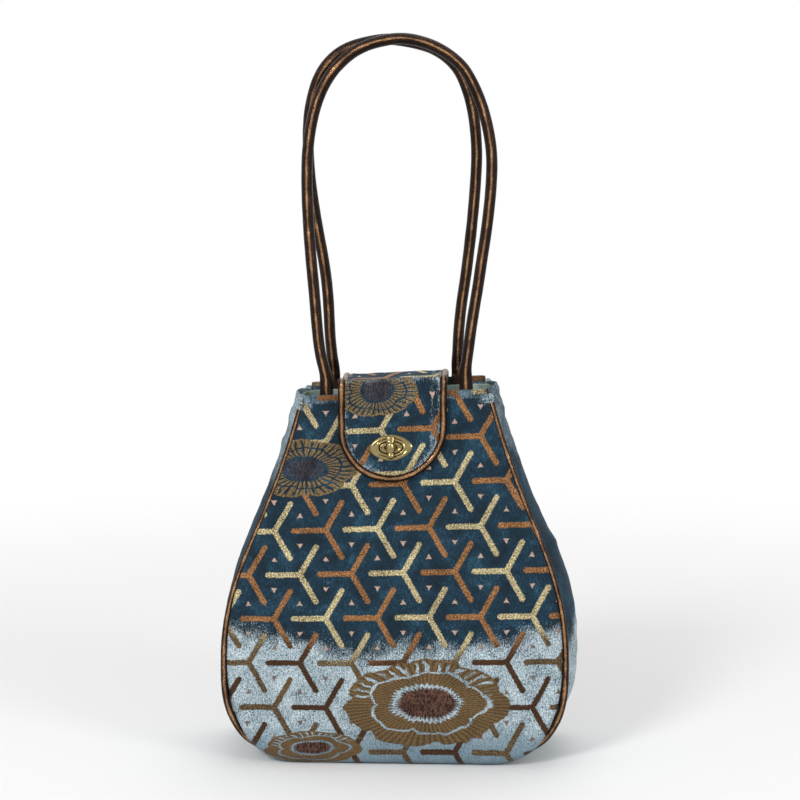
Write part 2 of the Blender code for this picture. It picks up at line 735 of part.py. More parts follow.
def stepped(chain, ring_after):
    """A closed body from loops in order; a step named in ring_after is a flat ring of triangles."""
    verts, faces, starts = [], [], []
    for loop, c in chain:
        starts.append(len(verts))
        verts += [LOCK_O + LOCK_R * q[0] + LOCK_U * q[1] + LOCK_N * c for q in loop]
    total = len(chain)
    for i in range(total):
        j = (i + 1) % total
        a, b = chain[i][0], chain[j][0]
        if i in ring_after:
            outer, hole = (a, b) if np.abs(a).max() > np.abs(b).max() else (b, a)
            first, second = (starts[i], starts[j]) if outer is a else (starts[j], starts[i])
            flat, tri, _, rim = field(outer, [hole], [], [])
            index = {}
            for k, r in enumerate(rim):
                index[r] = first + k if k < len(outer) else second + k - len(outer)
            for f in tri:
                face = [index[int(v)] for v in f]
                rising = outer is a
                faces.append(tuple(face) if rising else tuple(face[::-1]))
        else:
            count = len(a)
            for k in range(count):
                n = (k + 1) % count
                faces.append((starts[i] + k, starts[i] + n, starts[j] + n, starts[j] + k))
    verts = np.array(verts)
    return verts, outward_faces(verts, faces)


def eye_outline(grow):
    return oval(EYE_HALF_LENGTH + grow, EYE_HALF_HEIGHT + grow, 32, 1.75)


def slot_outline(grow):
    return oval(SLOT_HALF_LENGTH + grow, SLOT_HALF_HEIGHT + grow, 24, 2.4)


def lock_eye(mats_front, mats_back):
    lo, hi = EYE_C
    verts, faces = stepped(
        [
            (eye_outline(0.0), lo), (eye_outline(0.0), hi - 0.6), (eye_outline(-0.8), hi),
            (slot_outline(0.7), hi), (slot_outline(0.0), hi - 0.5), (slot_outline(0.0), lo),
        ],
        (2, 5),
    )
    make("lock_eye_plate", verts, faces, mats_front, round_shaded=False)
    lo, hi = BACKING_C
    verts, faces = stepped(
        [
            (eye_outline(0.3), lo), (eye_outline(0.3), hi),
            (slot_outline(0.0), hi), (slot_outline(0.0), lo),
        ],
        (1, 3),
    )
    make("lock_eye_backing", verts, faces, mats_back, round_shaded=False)


def lock_base(mats):
    boss = -BOSS_CLEARANCE
    head = STEM_RADIUS + 1.9
    hole = oval(STEM_RADIUS + SEAT, STEM_RADIUS + SEAT, 16)
    bore = oval(head, head, 16)
    lo, hi = BASE_C
    ceiling = lo + 1.5
    verts, faces = stepped(
        [
            (oval(EYE_HALF_LENGTH - 2.5, EYE_HALF_HEIGHT - 1.5, 24, 3.0), lo),
            (oval(EYE_HALF_LENGTH - 2.5, EYE_HALF_HEIGHT - 1.5, 24, 3.0), hi),
            (slot_outline(boss), hi), (slot_outline(boss), BOSS_TOP - 0.5), (slot_outline(boss - 0.5), BOSS_TOP),
            (hole, BOSS_TOP), (hole, ceiling), (bore, ceiling), (bore, lo),
        ],
        (1, 4, 6, 8),
    )
    make("lock_base", verts, faces, mats, round_shaded=False)


KNOB_PROFILE = (  # share of the half height, half width, half depth, as shares of KNOB_RADIUS
    (-0.97, 0.34, 0.34), (-0.88, 0.70, 0.70), (-0.72, 0.90, 0.90), (-0.54, 0.80, 0.80), (-0.44, 0.66, 0.66),
    (-0.36, 0.92, 0.92), (0.0, 1.0, 1.0), (0.36, 0.92, 0.92), (0.42, 0.72, 0.66), (0.50, 0.86, 0.50),
    (0.80, 0.96, 0.42), (0.93, 0.80, 0.38), (0.99, 0.50, 0.28),
)


def lock_knob(mats):
    """The turn bar, with its stem and the head that holds it in the boss."""
    centre = BOSS_TOP + SEAT + KNOB_RADIUS
    angle = np.arange(16) * 2 * math.pi / 16
    rings = []
    for share, wide, deep in KNOB_PROFILE:
        a = KNOB_RADIUS * wide * np.cos(angle)
        c = centre + KNOB_RADIUS * deep * np.sin(angle)
        b = share * KNOB_HALF_HEIGHT
        rings.append(LOCK_O + np.outer(a, LOCK_R) + b * LOCK_U + np.outer(c, LOCK_N))
    verts, faces = rings_body(rings)
    bar = make("lock_knob", verts, outward_faces(verts, faces), mats, origin=LOCK_O)
    lo = BASE_C[0] + SEAT
    stem = []
    for radius, c in (
        (STEM_RADIUS + 1.5, lo), (STEM_RADIUS + 1.5, lo + 0.8), (STEM_RADIUS, lo + 0.8), (STEM_RADIUS, centre),
    ):
        circle = np.outer(np.cos(angle), LOCK_R) + np.outer(np.sin(angle), LOCK_U)
        stem.append(LOCK_O + radius * circle + c * LOCK_N)
    verts, faces = rings_body(stem)
    pin = make("stem", verts, outward_faces(verts, faces), mats, origin=LOCK_O)
    join = bar.modifiers.new("stem", "BOOLEAN")
    join.operation = "UNION"
    join.solver = "EXACT"
    join.object = pin
    bpy.context.view_layer.update()
    joined = bpy.data.meshes.new_from_object(bar.evaluated_get(bpy.context.evaluated_depsgraph_get()))
    bar.modifiers.clear()
    old = bar.data
    bar.data = joined
    bpy.data.objects.remove(pin, do_unlink=True)
    bpy.data.meshes.remove(old)
    joined.name = "lock_knob"
    return bar


FLAP_BEND = 4.2  # radius of the flap's turn over each rim


def flap_levels():
    """Lengths along the flap from its back seam: up the back, over the mouth and down the front."""
    up = FLAP_SEAM_DROP + FLAP_LIFT - FLAP_BEND
    bend = FLAP_BEND * math.pi / 2
    across = 2 * (MOUTH_HALF_DEPTH + MOUTH_BULGE + PANEL_THICK / 2 + FLAP_LIFT - FLAP_BEND)
    down = BAG_HEIGHT + FLAP_LIFT - FLAP_BEND - (FLAP_END_Z + FLAP_PIPING_RADIUS)
    return up, up + bend, up + bend + across, up + 2 * bend + across, up + 2 * bend + across + down


FLAP_V = flap_levels()
FLAP_PIPE_X = FLAP_HALF_WIDTH - FLAP_PIPING_RADIUS


def flap_middle(xv):
    """The middle of the flap's two layers; v runs from the back seam to the rounded end."""
    xv = np.asarray(xv, float)
    x, v = xv[:, 0], xv[:, 1]
    v1, v2, v3, v4, v5 = FLAP_V
    back_rim, front_rim = BAG_HEIGHT + BACK_RISE, BAG_HEIGHT
    turn_b = back_rim + FLAP_LIFT - FLAP_BEND
    turn_f = front_rim + FLAP_LIFT - FLAP_BEND
    reach = np.minimum(np.abs(x), 60.0) * np.sign(x)

    def wall(side, z):
        lift = FLAP_LIFT + PANEL_THICK / 2
        if side < 0:
            end = smooth((FLAP_END_Z + 36.0 - z) / 30.0)
            lift = lift - (FLAP_LIFT - FLAP_PIPING_RADIUS - SEAT) * end
        return panel_surface(np.stack([reach, z], axis=1), side, lift)

    z_back = np.clip(back_rim - FLAP_SEAM_DROP + v, 0, turn_b)
    z_front = np.where(v > v4, turn_f - (v - v4), turn_f)
    back, front = wall(1, z_back), wall(-1, z_front)
    yb, yf = back[:, 1], front[:, 1]
    a = (v - v1) / (v2 - v1) * math.pi / 2
    b = (v - v3) / (v4 - v3) * math.pi / 2
    m = np.clip((v - v2) / (v3 - v2), 0, 1)
    top_b = (yb - FLAP_BEND, turn_b + FLAP_BEND)
    top_f = (yf + FLAP_BEND, turn_f + FLAP_BEND)
    y = np.where(v < v1, yb, 0.0)
    z = np.where(v < v1, z_back, 0.0)
    first = (v >= v1) & (v < v2)
    y = np.where(first, yb - FLAP_BEND * (1 - np.cos(a)), y)
    z = np.where(first, turn_b + FLAP_BEND * np.sin(a), z)
    over = (v >= v2) & (v <= v3)
    y = np.where(over, top_b[0] + (top_f[0] - top_b[0]) * m, y)
    z = np.where(over, top_b[1] + (top_f[1] - top_b[1]) * m, z)
    last = (v > v3) & (v <= v4)
    y = np.where(last, top_f[0] - FLAP_BEND * np.sin(b), y)
    z = np.where(last, turn_f + FLAP_BEND * np.cos(b), z)
    down = v > v4
    y = np.where(down, yf, y)
    z = np.where(down, front[:, 2], z)
    p = tilt(np.stack([x, y, z], axis=1))
    return np.where(down[:, None], flatten(p, FLAP_MIDDLE_C), p)


def flap_outline(half):
    """Straight sides and a half-round end."""
    end = FLAP_V[4] - (FLAP_PIPE_X - half)
    centre = end - half
    v1, v2, v3, v4, _ = FLAP_V
    side_v = [0.0, v1 * 0.5, v1]
    side_v += list(np.linspace(v1, v2, 5)[1:]) + list(np.linspace(v2, v3, 6)[1:])
    side_v += list(np.linspace(v3, v4, 5)[1:])
    side_v += list(np.linspace(v4, centre, 5)[1:])
    left = [(FLAP_X - half, v) for v in side_v]
    angle = np.linspace(math.pi, 2 * math.pi, 19)[1:-1]
    end_arc = [(FLAP_X + half * math.cos(t), centre - half * math.sin(t)) for t in angle]
    right = [(FLAP_X + half, v) for v in side_v[::-1]]
    across = [(x, 0.0) for x in np.linspace(FLAP_X + half, FLAP_X - half, 8)[1:-1]]
    return np.array(left + end_arc + right + across)[::-1]


def flap_grid(step, outline, holes):
    pad = LOCK_PAD * (1, -1) + (0.0, FLAP_V[3] + BAG_HEIGHT + FLAP_LIFT - FLAP_BEND)
    v1, v2, v3, v4, v5 = FLAP_V
    rows = [v1 * 0.5, v1] + list(np.linspace(v1, v2, 5)[1:]) + list(np.linspace(v2, v3, 5)[1:])
    rows += list(np.linspace(v3, v4, 5)[1:]) + list(np.arange(v4 + step, v5, step))
    half = FLAP_PIPE_X
    xs = np.arange(FLAP_X - half + step, FLAP_X + half - 1.0, step)
    points = np.array([(x, v) for v in rows for x in xs])
    points = points[inside(points, outline)]
    edges = np.concatenate([outline] + [np.asarray(h) for h in holes])
    points = spread(points, edges, step * 0.42)
    points = np.concatenate([spread(points, pad, 4.0), spread(pad, edges, 1.2)])
    for hole in holes:
        points = points[~inside(points, hole)]
    return points


def flap(mats, mats_lining, slots):
    half = FLAP_PIPE_X - FLAP_PIPING_RADIUS - SEAT
    outline = flap_outline(half)
    v_lock = FLAP_V[3] + (BAG_HEIGHT + FLAP_LIFT - FLAP_BEND - LOCK_Z)
    slot = slot_outline(0.0) * (1, -1) + (LOCK_X, v_lock)
    slot = slot[::-1]
    half_stack = STACK / 2
    v_of = FLAP_V[3] + BAG_HEIGHT + FLAP_LIFT - FLAP_BEND
    eye = oval(EYE_HALF_LENGTH + 1.0, EYE_HALF_HEIGHT + 1.0, 20) + (LOCK_X, v_lock)
    bloom = flower((FLAP_X - 16.1, v_of - BAG_HEIGHT + 4.0), 0.573 * FLAP_HALF_WIDTH, 13.0, 5)

    def allowed(line):
        flat = np.stack([line[:, 0], v_of - line[:, 1]], axis=1)
        good = inside(flat, flap_outline(half - 3.0)) & (flat[:, 1] > FLAP_V[3] + 2.0)
        return good & ~inside(flat, eye) & ~inside(flat, bloom)

    motifs = []
    for polygon, slot_index in lattice_motifs(
        (FLAP_X - FLAP_HALF_WIDTH, FLAP_END_Z), (FLAP_X + FLAP_HALF_WIDTH, BAG_HEIGHT), allowed, slots[:2]
    ):
        flat = np.array(polygon)
        motifs.append((np.stack([flat[:, 0], v_of - flat[:, 1]], axis=1), slot_index))
    motifs.append((bloom, slots[2]))
    polygons = np.concatenate([np.array(m[0]) for m in motifs])
    fine = spread(flap_grid(11.0, outline, [slot]), polygons, 1.5)
    coarse = flap_grid(18.0, outline, [slot])
    verts, faces, face_slots = cloth(
        outline, [slot], flap_middle, half_stack, half_stack - FLAP_THICK, -1.0, fine, coarse, motifs
    )
    make("flap", verts, outward_faces(verts, faces), mats, face_slots)
    verts, faces, face_slots = cloth(
        outline, [slot], flap_middle, -half_stack + FLAP_LINING_THICK, -half_stack, -1.0, coarse, coarse
    )
    make("flap_lining", verts, outward_faces(verts, faces), mats_lining)


def flap_piping(mats):
    line = flap_outline(FLAP_PIPE_X)[::-1]
    keep = len(line) - 6
    path = flap_middle(line[:keep])
    verts, faces = tube(path, FLAP_PIPING_RADIUS, 7)
    make("flap_piping", verts, faces, mats)


def base_board(mats):
    lo = GUSSET_THICK + SEAT
    hi = lo + BOARD_THICK
    shape = oval(BASE_HALF_WIDTH - 4.0, BASE_HALF_DEPTH * 0.66, 32, 6.0)
    low = [np.array((q[0], q[1], lo)) for q in shape]
    high = [np.array((q[0], q[1], hi)) for q in shape]
    verts, faces = rings_body([np.array(low), np.array(high)])
    make("base_board", verts, outward_faces(verts, faces), mats, round_shaded=False)


def root_point(x, side):
    """Where a handle's flat root turns, above the rim and between panel and lining."""
    rim = BAG_HEIGHT + (BACK_RISE if side > 0 else 0.0)
    q = panel_surface(np.array([(x, rim - 2.0)]), side, -(PANEL_THICK / 2 + SEAT + PLAY + TAB_THICK / 2))[0]
    return tilt(np.array([x, q[1], rim + HINGE_RISE]))


def handle_tab(name, x, side, mats):
    """The flat end of a handle, sewn in between the panel and the lining."""
    rim = BAG_HEIGHT + (BACK_RISE if side > 0 else 0.0)
    top = rim + HINGE_RISE - ROOT_HALF_THICK - SEAT - PLAY
    rings = []
    # the top narrows, so that a handle that lies down past level clears it
    levels = ((rim - TAB_DEPTH, 1.0), (rim - TAB_DEPTH / 2, 1.0), (rim - 1.0, 1.0), (top - 1.5, 1.0), (top, 0.35))
    for z, narrow in levels:
        q = panel_surface(np.array([(x, min(z, rim - 2.0))]), side, -(PANEL_THICK / 2 + SEAT + PLAY + TAB_THICK / 2))[0]
        w, t = ROOT_HALF_WIDTH, TAB_THICK / 2 * narrow
        ring = [(x - w, q[1] - t, z), (x + w, q[1] - t, z), (x + w, q[1] + t, z), (x - w, q[1] + t, z)]
        rings.append(tilt(np.array(ring)))
    verts, faces = rings_body(rings)
    make(name, verts, outward_faces(verts, faces), mats, round_shaded=False)


def handle_path(left, right, arch, height):
    """The arch in its own plane: distance along the hinge line from its middle, and height."""
    span = np.linalg.norm(right - left)
    middle_x = (left[0] + right[0]) / 2
    points = [(-span / 2, 0.0), (-span / 2, ROOT_LENGTH * 0.55)]
    points += [(xl - middle_x, f * height) for f, xl, _ in arch]
    points += [(xr - middle_x, f * height) for f, _, xr in arch[::-1]]
    points += [(span / 2, ROOT_LENGTH * 0.55), (span / 2, 0.0)]
    p = np.array(points)
    ext = np.concatenate([[2 * p[0] - p[1]], p, [2 * p[-1] - p[-2]]])
    out = []
    for i in range(1, len(ext) - 2):
        a, b, c, d = ext[i - 1 : i + 3]
        for t in np.linspace(0, 1, 8, endpoint=False):
            out.append(
                0.5 * (2 * b + (c - a) * t + (2 * a - 5 * b + 4 * c - d) * t * t + (3 * b - a - 3 * c + d) * t**3)
            )
    out.append(p[-1])
    return np.array(out)


def handle(name, side, roots, arch, mats):
    left, right = root_point(roots[0], side), root_point(roots[1], side)
    axis = (right - left) / np.linalg.norm(right - left)
    middle = (left + right) / 2
    top_y = side * (HANDLE_RADIUS + CROWN_GAP / 2)
    tall = HANDLE_HEIGHT - (BACK_RISE if side > 0 else 0.0)
    lean_back = math.asin((middle[1] - top_y) / tall)
    up = np.cross(axis, (0.0, 1.0, 0.0))
    up /= -np.linalg.norm(up) if up[2] < 0 else np.linalg.norm(up)
    ahead = np.cross(up, axis)
    rise = up * math.cos(lean_back) - np.array([0.0, 1.0, 0.0]) * math.sin(lean_back)
    rise -= axis * (rise @ axis)
    rise /= np.linalg.norm(rise)
    thick = np.cross(axis, rise)
    flat = handle_path(left, right, arch, tall)
    # the arch is drawn upright while the hinge line is tilted, so it is turned back upright
    turn = math.asin(float(axis[2]))
    share = smooth((flat[:, 1] - 4.0) / (tall * 0.30))
    along = flat[:, 0] * (1 - share * (1 - math.cos(turn))) + flat[:, 1] * math.sin(turn) * share
    height = flat[:, 1] - flat[:, 0] * math.sin(turn) * share
    path2 = resample(np.stack([along, height], axis=1), 17.0)
    tangent = np.gradient(path2, axis=0)
    tangent /= np.linalg.norm(tangent, axis=1)[:, None]
    run = np.concatenate([[0.0], np.cumsum(np.linalg.norm(np.diff(path2, axis=0), axis=1))])
    # closer rings where the flat root becomes round
    extra = (2.5, 6.0, 10.0)
    at = np.unique(np.concatenate([run, extra, run[-1] - np.array(extra)]))
    path2 = np.stack([np.interp(at, run, path2[:, k]) for k in (0, 1)], axis=1)
    tangent = np.stack([np.interp(at, run, tangent[:, k]) for k in (0, 1)], axis=1)
    tangent[0], tangent[-1] = (0.0, 1.0), (0.0, -1.0)
    tangent /= np.linalg.norm(tangent, axis=1)[:, None]
    angle = np.arange(10) * 2 * math.pi / 10
    rings = []

    def ring(p, t, half_side, half_thick, shift=0.0):
        centre = middle + axis * p[0] + rise * (p[1] + shift)
        across = axis * t[1] - rise * t[0]
        return centre + np.outer(half_side * np.cos(angle), across) + np.outer(half_thick * np.sin(angle), thick)

    for k in (0.995, 0.8, 0.45):
        rings.append(
            ring(path2[0], (0.0, 1.0), ROOT_HALF_WIDTH, ROOT_HALF_THICK * math.sqrt(1 - k * k), -k * ROOT_HALF_THICK)
        )
    for p, t, s in zip(path2, tangent, at):
        k = float(smooth(min(s, at[-1] - s) / ROOT_LENGTH))
        rings.append(
            ring(p, t, ROOT_HALF_WIDTH + (HANDLE_RADIUS - ROOT_HALF_WIDTH) * k,
                 ROOT_HALF_THICK + (HANDLE_RADIUS - ROOT_HALF_THICK) * k)
        )
    for k in (0.45, 0.8, 0.995):
        rings.append(
            ring(path2[-1], (0.0, -1.0), ROOT_HALF_WIDTH, ROOT_HALF_THICK * math.sqrt(1 - k * k), -k * ROOT_HALF_THICK)
        )
    verts, faces = rings_body(rings)
    return make(name, verts, outward_faces(verts, faces), mats, origin=middle)


def main():
    for ob in list(bpy.data.objects):
        bpy.data.objects.remove(ob, do_unlink=True)
    velvet = (0.016, 0.050, 0.083)
    gold = material("metallic_weave_gold", (0.62, 0.50, 0.27), 0.45, 0.3)
    copper = material("metallic_weave_copper", (0.35, 0.16, 0.06), 0.45, 0.3)
    bloom = material("metallic_weave_blossom", (0.25, 0.14, 0.05), 0.5, 0.3)

    def shell(name):
        return [material(name, velvet, 0.85, 0.0, 0.5), gold, copper, bloom]

    def leather(name):
        return [material(name, (0.045, 0.017, 0.008), 0.34, 0.35)]

    def brass(name):
        return [material(name, (0.62, 0.47, 0.20), 0.25, 1.0)]

    blossoms = (
        (flower((22.4, 50.4), 62.0, 31.0, 6), 3),
        (flower((-61.0, 20.5), 40.0, 11.5, 5), 3),
        (flower((-66.0, 240.8), 18.0, 19.0, 4), 3),
    )

    def allowed_panel(line):
        good = room(line) > 4.0
        good &= line[:, 1] < BAG_HEIGHT - 6.0
        good &= (np.abs(line[:, 0] - FLAP_X) > FLAP_HALF_WIDTH - 3.0) | (line[:, 1] < FLAP_END_Z + 4.0)
        for polygon, _ in blossoms:
            grown = (polygon - polygon.mean(0)) * 1.08 + polygon.mean(0)
            good &= ~inside(line, grown)
        return good

    low, high = (-BELLY_HALF_WIDTH, 0.0), (BELLY_HALF_WIDTH, BAG_HEIGHT)
    front = lattice_motifs(low, high, allowed_panel, (1, 2))
    edge = panel_outline(BAG_HEIGHT)

    def on_cloth(polygon):
        return inside(polygon, edge).all() and room(polygon).min() > 1.5

    front = [m for m in front if on_cloth(np.array(m[0]))]
    fitted = []
    for polygon, slot in blossoms:
        shape = np.array(polygon)
        for _ in range(12):
            if on_cloth(shape):
                fitted.append((shape, slot))
                break
            shape = (shape - shape.mean(0)) * 0.93 + shape.mean(0) * (0.97, 1.0) + (0.0, 0.6)
    front += fitted
    panel("front_panel", -1, BAG_HEIGHT, shell("velvet_front"), front)
    panel("back_panel", 1, BAG_HEIGHT + BACK_RISE, shell("velvet_back"), front)
    gusset([material("velvet_gusset", velvet, 0.85, 0.0, 0.5)])
    seam_piping("front_piping", -1, BAG_HEIGHT, leather("leather_front_piping"))
    seam_piping("back_piping", 1, BAG_HEIGHT, leather("leather_back_piping"))
    lining([material("satin_lining", (0.27, 0.34, 0.30), 0.5)])
    base_board([material("board", (0.20, 0.16, 0.11), 0.8)])
    flap([material("velvet_flap", velvet, 0.85, 0.0, 0.5), gold, copper, bloom], leather("leather_flap_lining"), (1, 2, 3))
    flap_piping(leather("leather_flap_piping"))
    lock_eye(brass("brass_eye_plate"), brass("brass_eye_backing"))
    lock_base(brass("brass_lock_base"))
    lock_knob(brass("brass_knob"))
    for side, label, roots in ((-1, "front", FRONT_ROOTS), (1, "back", BACK_ROOTS)):
        for x, end in zip(roots, ("left", "right")):
            handle_tab(f"{label}_tab_{end}", x, side, leather(f"leather_{label}_tab_{end}"))
    handle("front_handle", -1, FRONT_ROOTS, FRONT_ARCH, leather("leather_front_handle"))
    handle("back_handle", 1, BACK_ROOTS, BACK_ARCH, leather("leather_back_handle"))


main()
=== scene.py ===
import math

import bmesh
import bpy
import numpy as np
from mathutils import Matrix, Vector, noise


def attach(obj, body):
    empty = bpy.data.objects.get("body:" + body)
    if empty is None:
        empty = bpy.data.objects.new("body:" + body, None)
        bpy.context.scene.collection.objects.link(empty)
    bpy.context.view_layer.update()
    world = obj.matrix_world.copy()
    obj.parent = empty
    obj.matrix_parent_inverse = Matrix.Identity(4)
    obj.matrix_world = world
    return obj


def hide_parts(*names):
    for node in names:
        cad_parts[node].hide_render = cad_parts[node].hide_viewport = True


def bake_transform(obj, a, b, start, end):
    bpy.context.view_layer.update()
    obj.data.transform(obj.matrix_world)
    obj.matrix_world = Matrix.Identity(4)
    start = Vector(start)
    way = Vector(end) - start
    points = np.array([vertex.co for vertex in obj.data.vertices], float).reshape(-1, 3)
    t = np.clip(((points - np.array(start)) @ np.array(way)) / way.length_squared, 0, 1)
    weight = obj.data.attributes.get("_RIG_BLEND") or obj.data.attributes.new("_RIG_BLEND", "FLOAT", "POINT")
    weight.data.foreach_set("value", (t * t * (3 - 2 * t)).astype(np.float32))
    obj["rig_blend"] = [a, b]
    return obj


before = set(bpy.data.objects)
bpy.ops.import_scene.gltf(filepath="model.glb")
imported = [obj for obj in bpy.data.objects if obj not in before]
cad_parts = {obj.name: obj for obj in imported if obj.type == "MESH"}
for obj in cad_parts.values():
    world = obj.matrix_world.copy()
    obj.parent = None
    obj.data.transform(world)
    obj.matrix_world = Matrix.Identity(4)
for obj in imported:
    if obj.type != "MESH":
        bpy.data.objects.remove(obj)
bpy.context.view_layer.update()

# A pear-shaped handbag of crushed velvet with woven metallic motifs: two panels and a side strip,
# leather piping, a tab flap with a brass turn lock, and two rolled leather handles.
# Surfaces are worked out in millimetres, as in the part, and turned to metres when a mesh is made.

MM = 0.001
BAG_HEIGHT = 301.0  # front rim above the table
BACK_RISE = 4.0  # back rim above the front rim
BELLY_HALF_WIDTH = 136.5  # widest seam from the middle
BELLY_Z = 84.0
MOUTH_HALF_WIDTH = 74.0
BASE_HALF_WIDTH = 78.0
SEAM_Z = 5.0  # bottom seam above the table
MOUTH_HALF_DEPTH = 26.0
BELLY_HALF_DEPTH = 46.0
BASE_HALF_DEPTH = 38.0
BELLY_BULGE = 15.0  # panel in front of its seam
MOUTH_BULGE = 2.4
PANEL_THICK = 3.0
GUSSET_THICK = 2.6
GUSSET_BULGE = 3.4
PIPING_RADIUS = 2.4
SEAT = 0.3  # gap between two pieces that touch
PLAY = 0.25  # more of it where one of the two is curved
TOP_TILT = 2.5  # the mouth rises to the right
BOARD_THICK = 2.4
LINING_EASE = 1.3  # how loosely the lining hangs inside the shell

FLAP_X = -1.9
FLAP_HALF_WIDTH = 43.6
FLAP_END_Z = BAG_HEIGHT - 72.0
FLAP_THICK = 2.2
FLAP_LINING_THICK = 1.2
FLAP_PIPING_RADIUS = 3.0
FLAP_SEAM_DROP = 21.0  # seam on the back panel, below the back rim
FLAP_LIFT = 3.8  # middle of the flap off the panel

LOCK_Z = BAG_HEIGHT - 44.2
LOCK_X = -2.9
EYE_HALF_LENGTH = 16.5
EYE_HALF_HEIGHT = 9.7
EYE_THICK = 1.7
BACKING_THICK = 0.8
LOCK_BASE_THICK = 1.2
SLOT_HALF_LENGTH = 9.5
SLOT_HALF_HEIGHT = 5.0
KNOB_HALF_HEIGHT = 9.2
KNOB_RADIUS = 3.7
STEM_RADIUS = 2.0

HANDLE_RADIUS = 4.6
HANDLE_HEIGHT = 274.0  # crown above the hinge line
HINGE_RISE = 6.0  # hinge line above the rim
ROOT_HALF_WIDTH = 5.4
ROOT_HALF_THICK = 2.2
ROOT_LENGTH = 17.0
TAB_THICK = 2.4
CROWN_GAP = 0.9  # between the two handles where they cross
FRONT_ROOTS = (-55.4, 56.5)
BACK_ROOTS = (-53.4, 49.4)

LATTICE = 41.2  # distance between the junctions of the three-armed motif
LATTICE_AT = (-77.4, 154.4)
ARM_LENGTH = 28.0
ARM_WIDTH = 5.0

# Each arch as (share of the height, X on the left, X on the right) above its two roots.
FRONT_ARCH = (
    (0.10, -59.5, 59.5), (0.22, -63.5, 63.5), (0.34, -67.2, 67.8), (0.46, -69.8, 72.6),
    (0.58, -71.2, 75.8), (0.68, -70.6, 75.8), (0.78, -66.4, 70.6), (0.86, -58.8, 62.4),
    (0.925, -46.8, 51.6), (0.975, -29.0, 33.0), (1.0, -6.0, 12.0),
)
BACK_ARCH = (
    (0.10, -54.8, 50.6), (0.22, -56.6, 53.2), (0.34, -60.6, 57.0), (0.46, -66.2, 60.6),
    (0.58, -70.6, 63.2), (0.68, -72.2, 64.0), (0.78, -71.0, 61.4), (0.86, -66.2, 55.8),
    (0.925, -57.4, 46.8), (0.975, -41.0, 29.0), (1.0, -16.0, 2.0),
)


def smooth(t):
    t = np.clip(t, 0.0, 1.0)
    return t * t * (3.0 - 2.0 * t)


def bezier(points, count):
    p = np.array(points, float)
    t = np.linspace(0.0, 1.0, count)[:, None]
    u = 1.0 - t
    return u**3 * p[0] + 3 * u * u * t * p[1] + 3 * u * t * t * p[2] + t**3 * p[3]


def resample(points, step):
    points = np.asarray(points, float)
    length = np.concatenate([[0.0], np.cumsum(np.linalg.norm(np.diff(points, axis=0), axis=1))])
    count = max(2, int(round(length[-1] / step)) + 1)
    at = np.linspace(0.0, length[-1], count)
    return np.stack([np.interp(at, length, points[:, k]) for k in range(points.shape[1])], axis=1)


def seam_curve():
    """The side and bottom seam seen from the front, from the top left down and up to the top right."""
    h = BAG_HEIGHT - BELLY_Z
    low = bezier(
        [
            (BASE_HALF_WIDTH, SEAM_Z),
            (BASE_HALF_WIDTH + 0.125 * BELLY_HALF_WIDTH, SEAM_Z),
            (BELLY_HALF_WIDTH, SEAM_Z + 0.10 * BELLY_Z),
            (BELLY_HALF_WIDTH, BELLY_Z),
        ],
        60,
    )
    high = bezier(
        [
            (BELLY_HALF_WIDTH, BELLY_Z),
            (BELLY_HALF_WIDTH, BELLY_Z + 0.386 * h),
            (MOUTH_HALF_WIDTH + 0.131 * h, BAG_HEIGHT - 0.523 * h),
            (MOUTH_HALF_WIDTH, BAG_HEIGHT),
        ],
        80,
    )
    lip = high[-1] + (high[-1] - high[-2]) / np.linalg.norm(high[-1] - high[-2]) * 14.0
    right = np.concatenate([[(0.0, SEAM_Z)], low, high[1:], [lip]])
    right = resample(right, 3.0)
    left = right[::-1][:-1] * (-1.0, 1.0)
    return np.concatenate([left, right])


SEAM = seam_curve()
SEAM_DIR = np.gradient(SEAM, axis=0)
SEAM_DIR /= np.linalg.norm(SEAM_DIR, axis=1)[:, None]
SEAM_IN = np.stack([-SEAM_DIR[:, 1], SEAM_DIR[:, 0]], axis=1)  # towards the middle of the panel


def nearest_seam(xz):
    """For each point, the nearest seam point, the inward direction there and the distance inside."""
    a = SEAM[:-1]
    d = SEAM[1:] - a
    rel = xz[:, None, :] - a[None]
    t = np.clip((rel * d[None]).sum(2) / (d * d).sum(1)[None], 0.0, 1.0)
    foot = a[None] + t[..., None] * d[None]
    dist = np.linalg.norm(xz[:, None, :] - foot, axis=2)
    i = dist.argmin(1)
    row = np.arange(len(xz))
    s = t[row, i][:, None]
    n = SEAM_IN[i] * (1.0 - s) + SEAM_IN[i + 1] * s
    n /= np.linalg.norm(n, axis=1)[:, None]
    near = foot[row, i]
    return near, n, np.where(((xz - near) * n).sum(1) < 0, -1.0, 1.0) * dist[row, i]


def half_width(z):
    right = SEAM[len(SEAM) // 2 :]
    keep = np.concatenate([[True], np.diff(right[:, 1]) > 1e-6])
    return np.interp(z, right[keep, 1], right[keep, 0])


def half_depth(z):
    """Distance of the seams from the middle plane of the bag."""
    low = BASE_HALF_DEPTH + (BELLY_HALF_DEPTH - BASE_HALF_DEPTH) * np.sin(
        np.clip(z / BELLY_Z, 0.0, 1.0) * math.pi / 2
    )
    t = np.clip((z - BELLY_Z) / (BAG_HEIGHT - BELLY_Z), 0.0, 1.15)
    high = MOUTH_HALF_DEPTH + (BELLY_HALF_DEPTH - MOUTH_HALF_DEPTH) * (
        0.5 + 0.5 * np.cos(math.pi * np.minimum(t, 1.0))
    )
    return np.where(z < BELLY_Z, low, high)


ROLL_SIDE = (math.radians(50.0), 8.0)  # how a panel leaves the piping, and the radius of its roll
ROLL_UNDER = (math.radians(-35.0), 7.5)


def roll(nz):
    k = smooth(nz)
    return (
        ROLL_SIDE[0] + (ROLL_UNDER[0] - ROLL_SIDE[0]) * k,
        ROLL_SIDE[1] + (ROLL_UNDER[1] - ROLL_SIDE[1]) * k,
    )


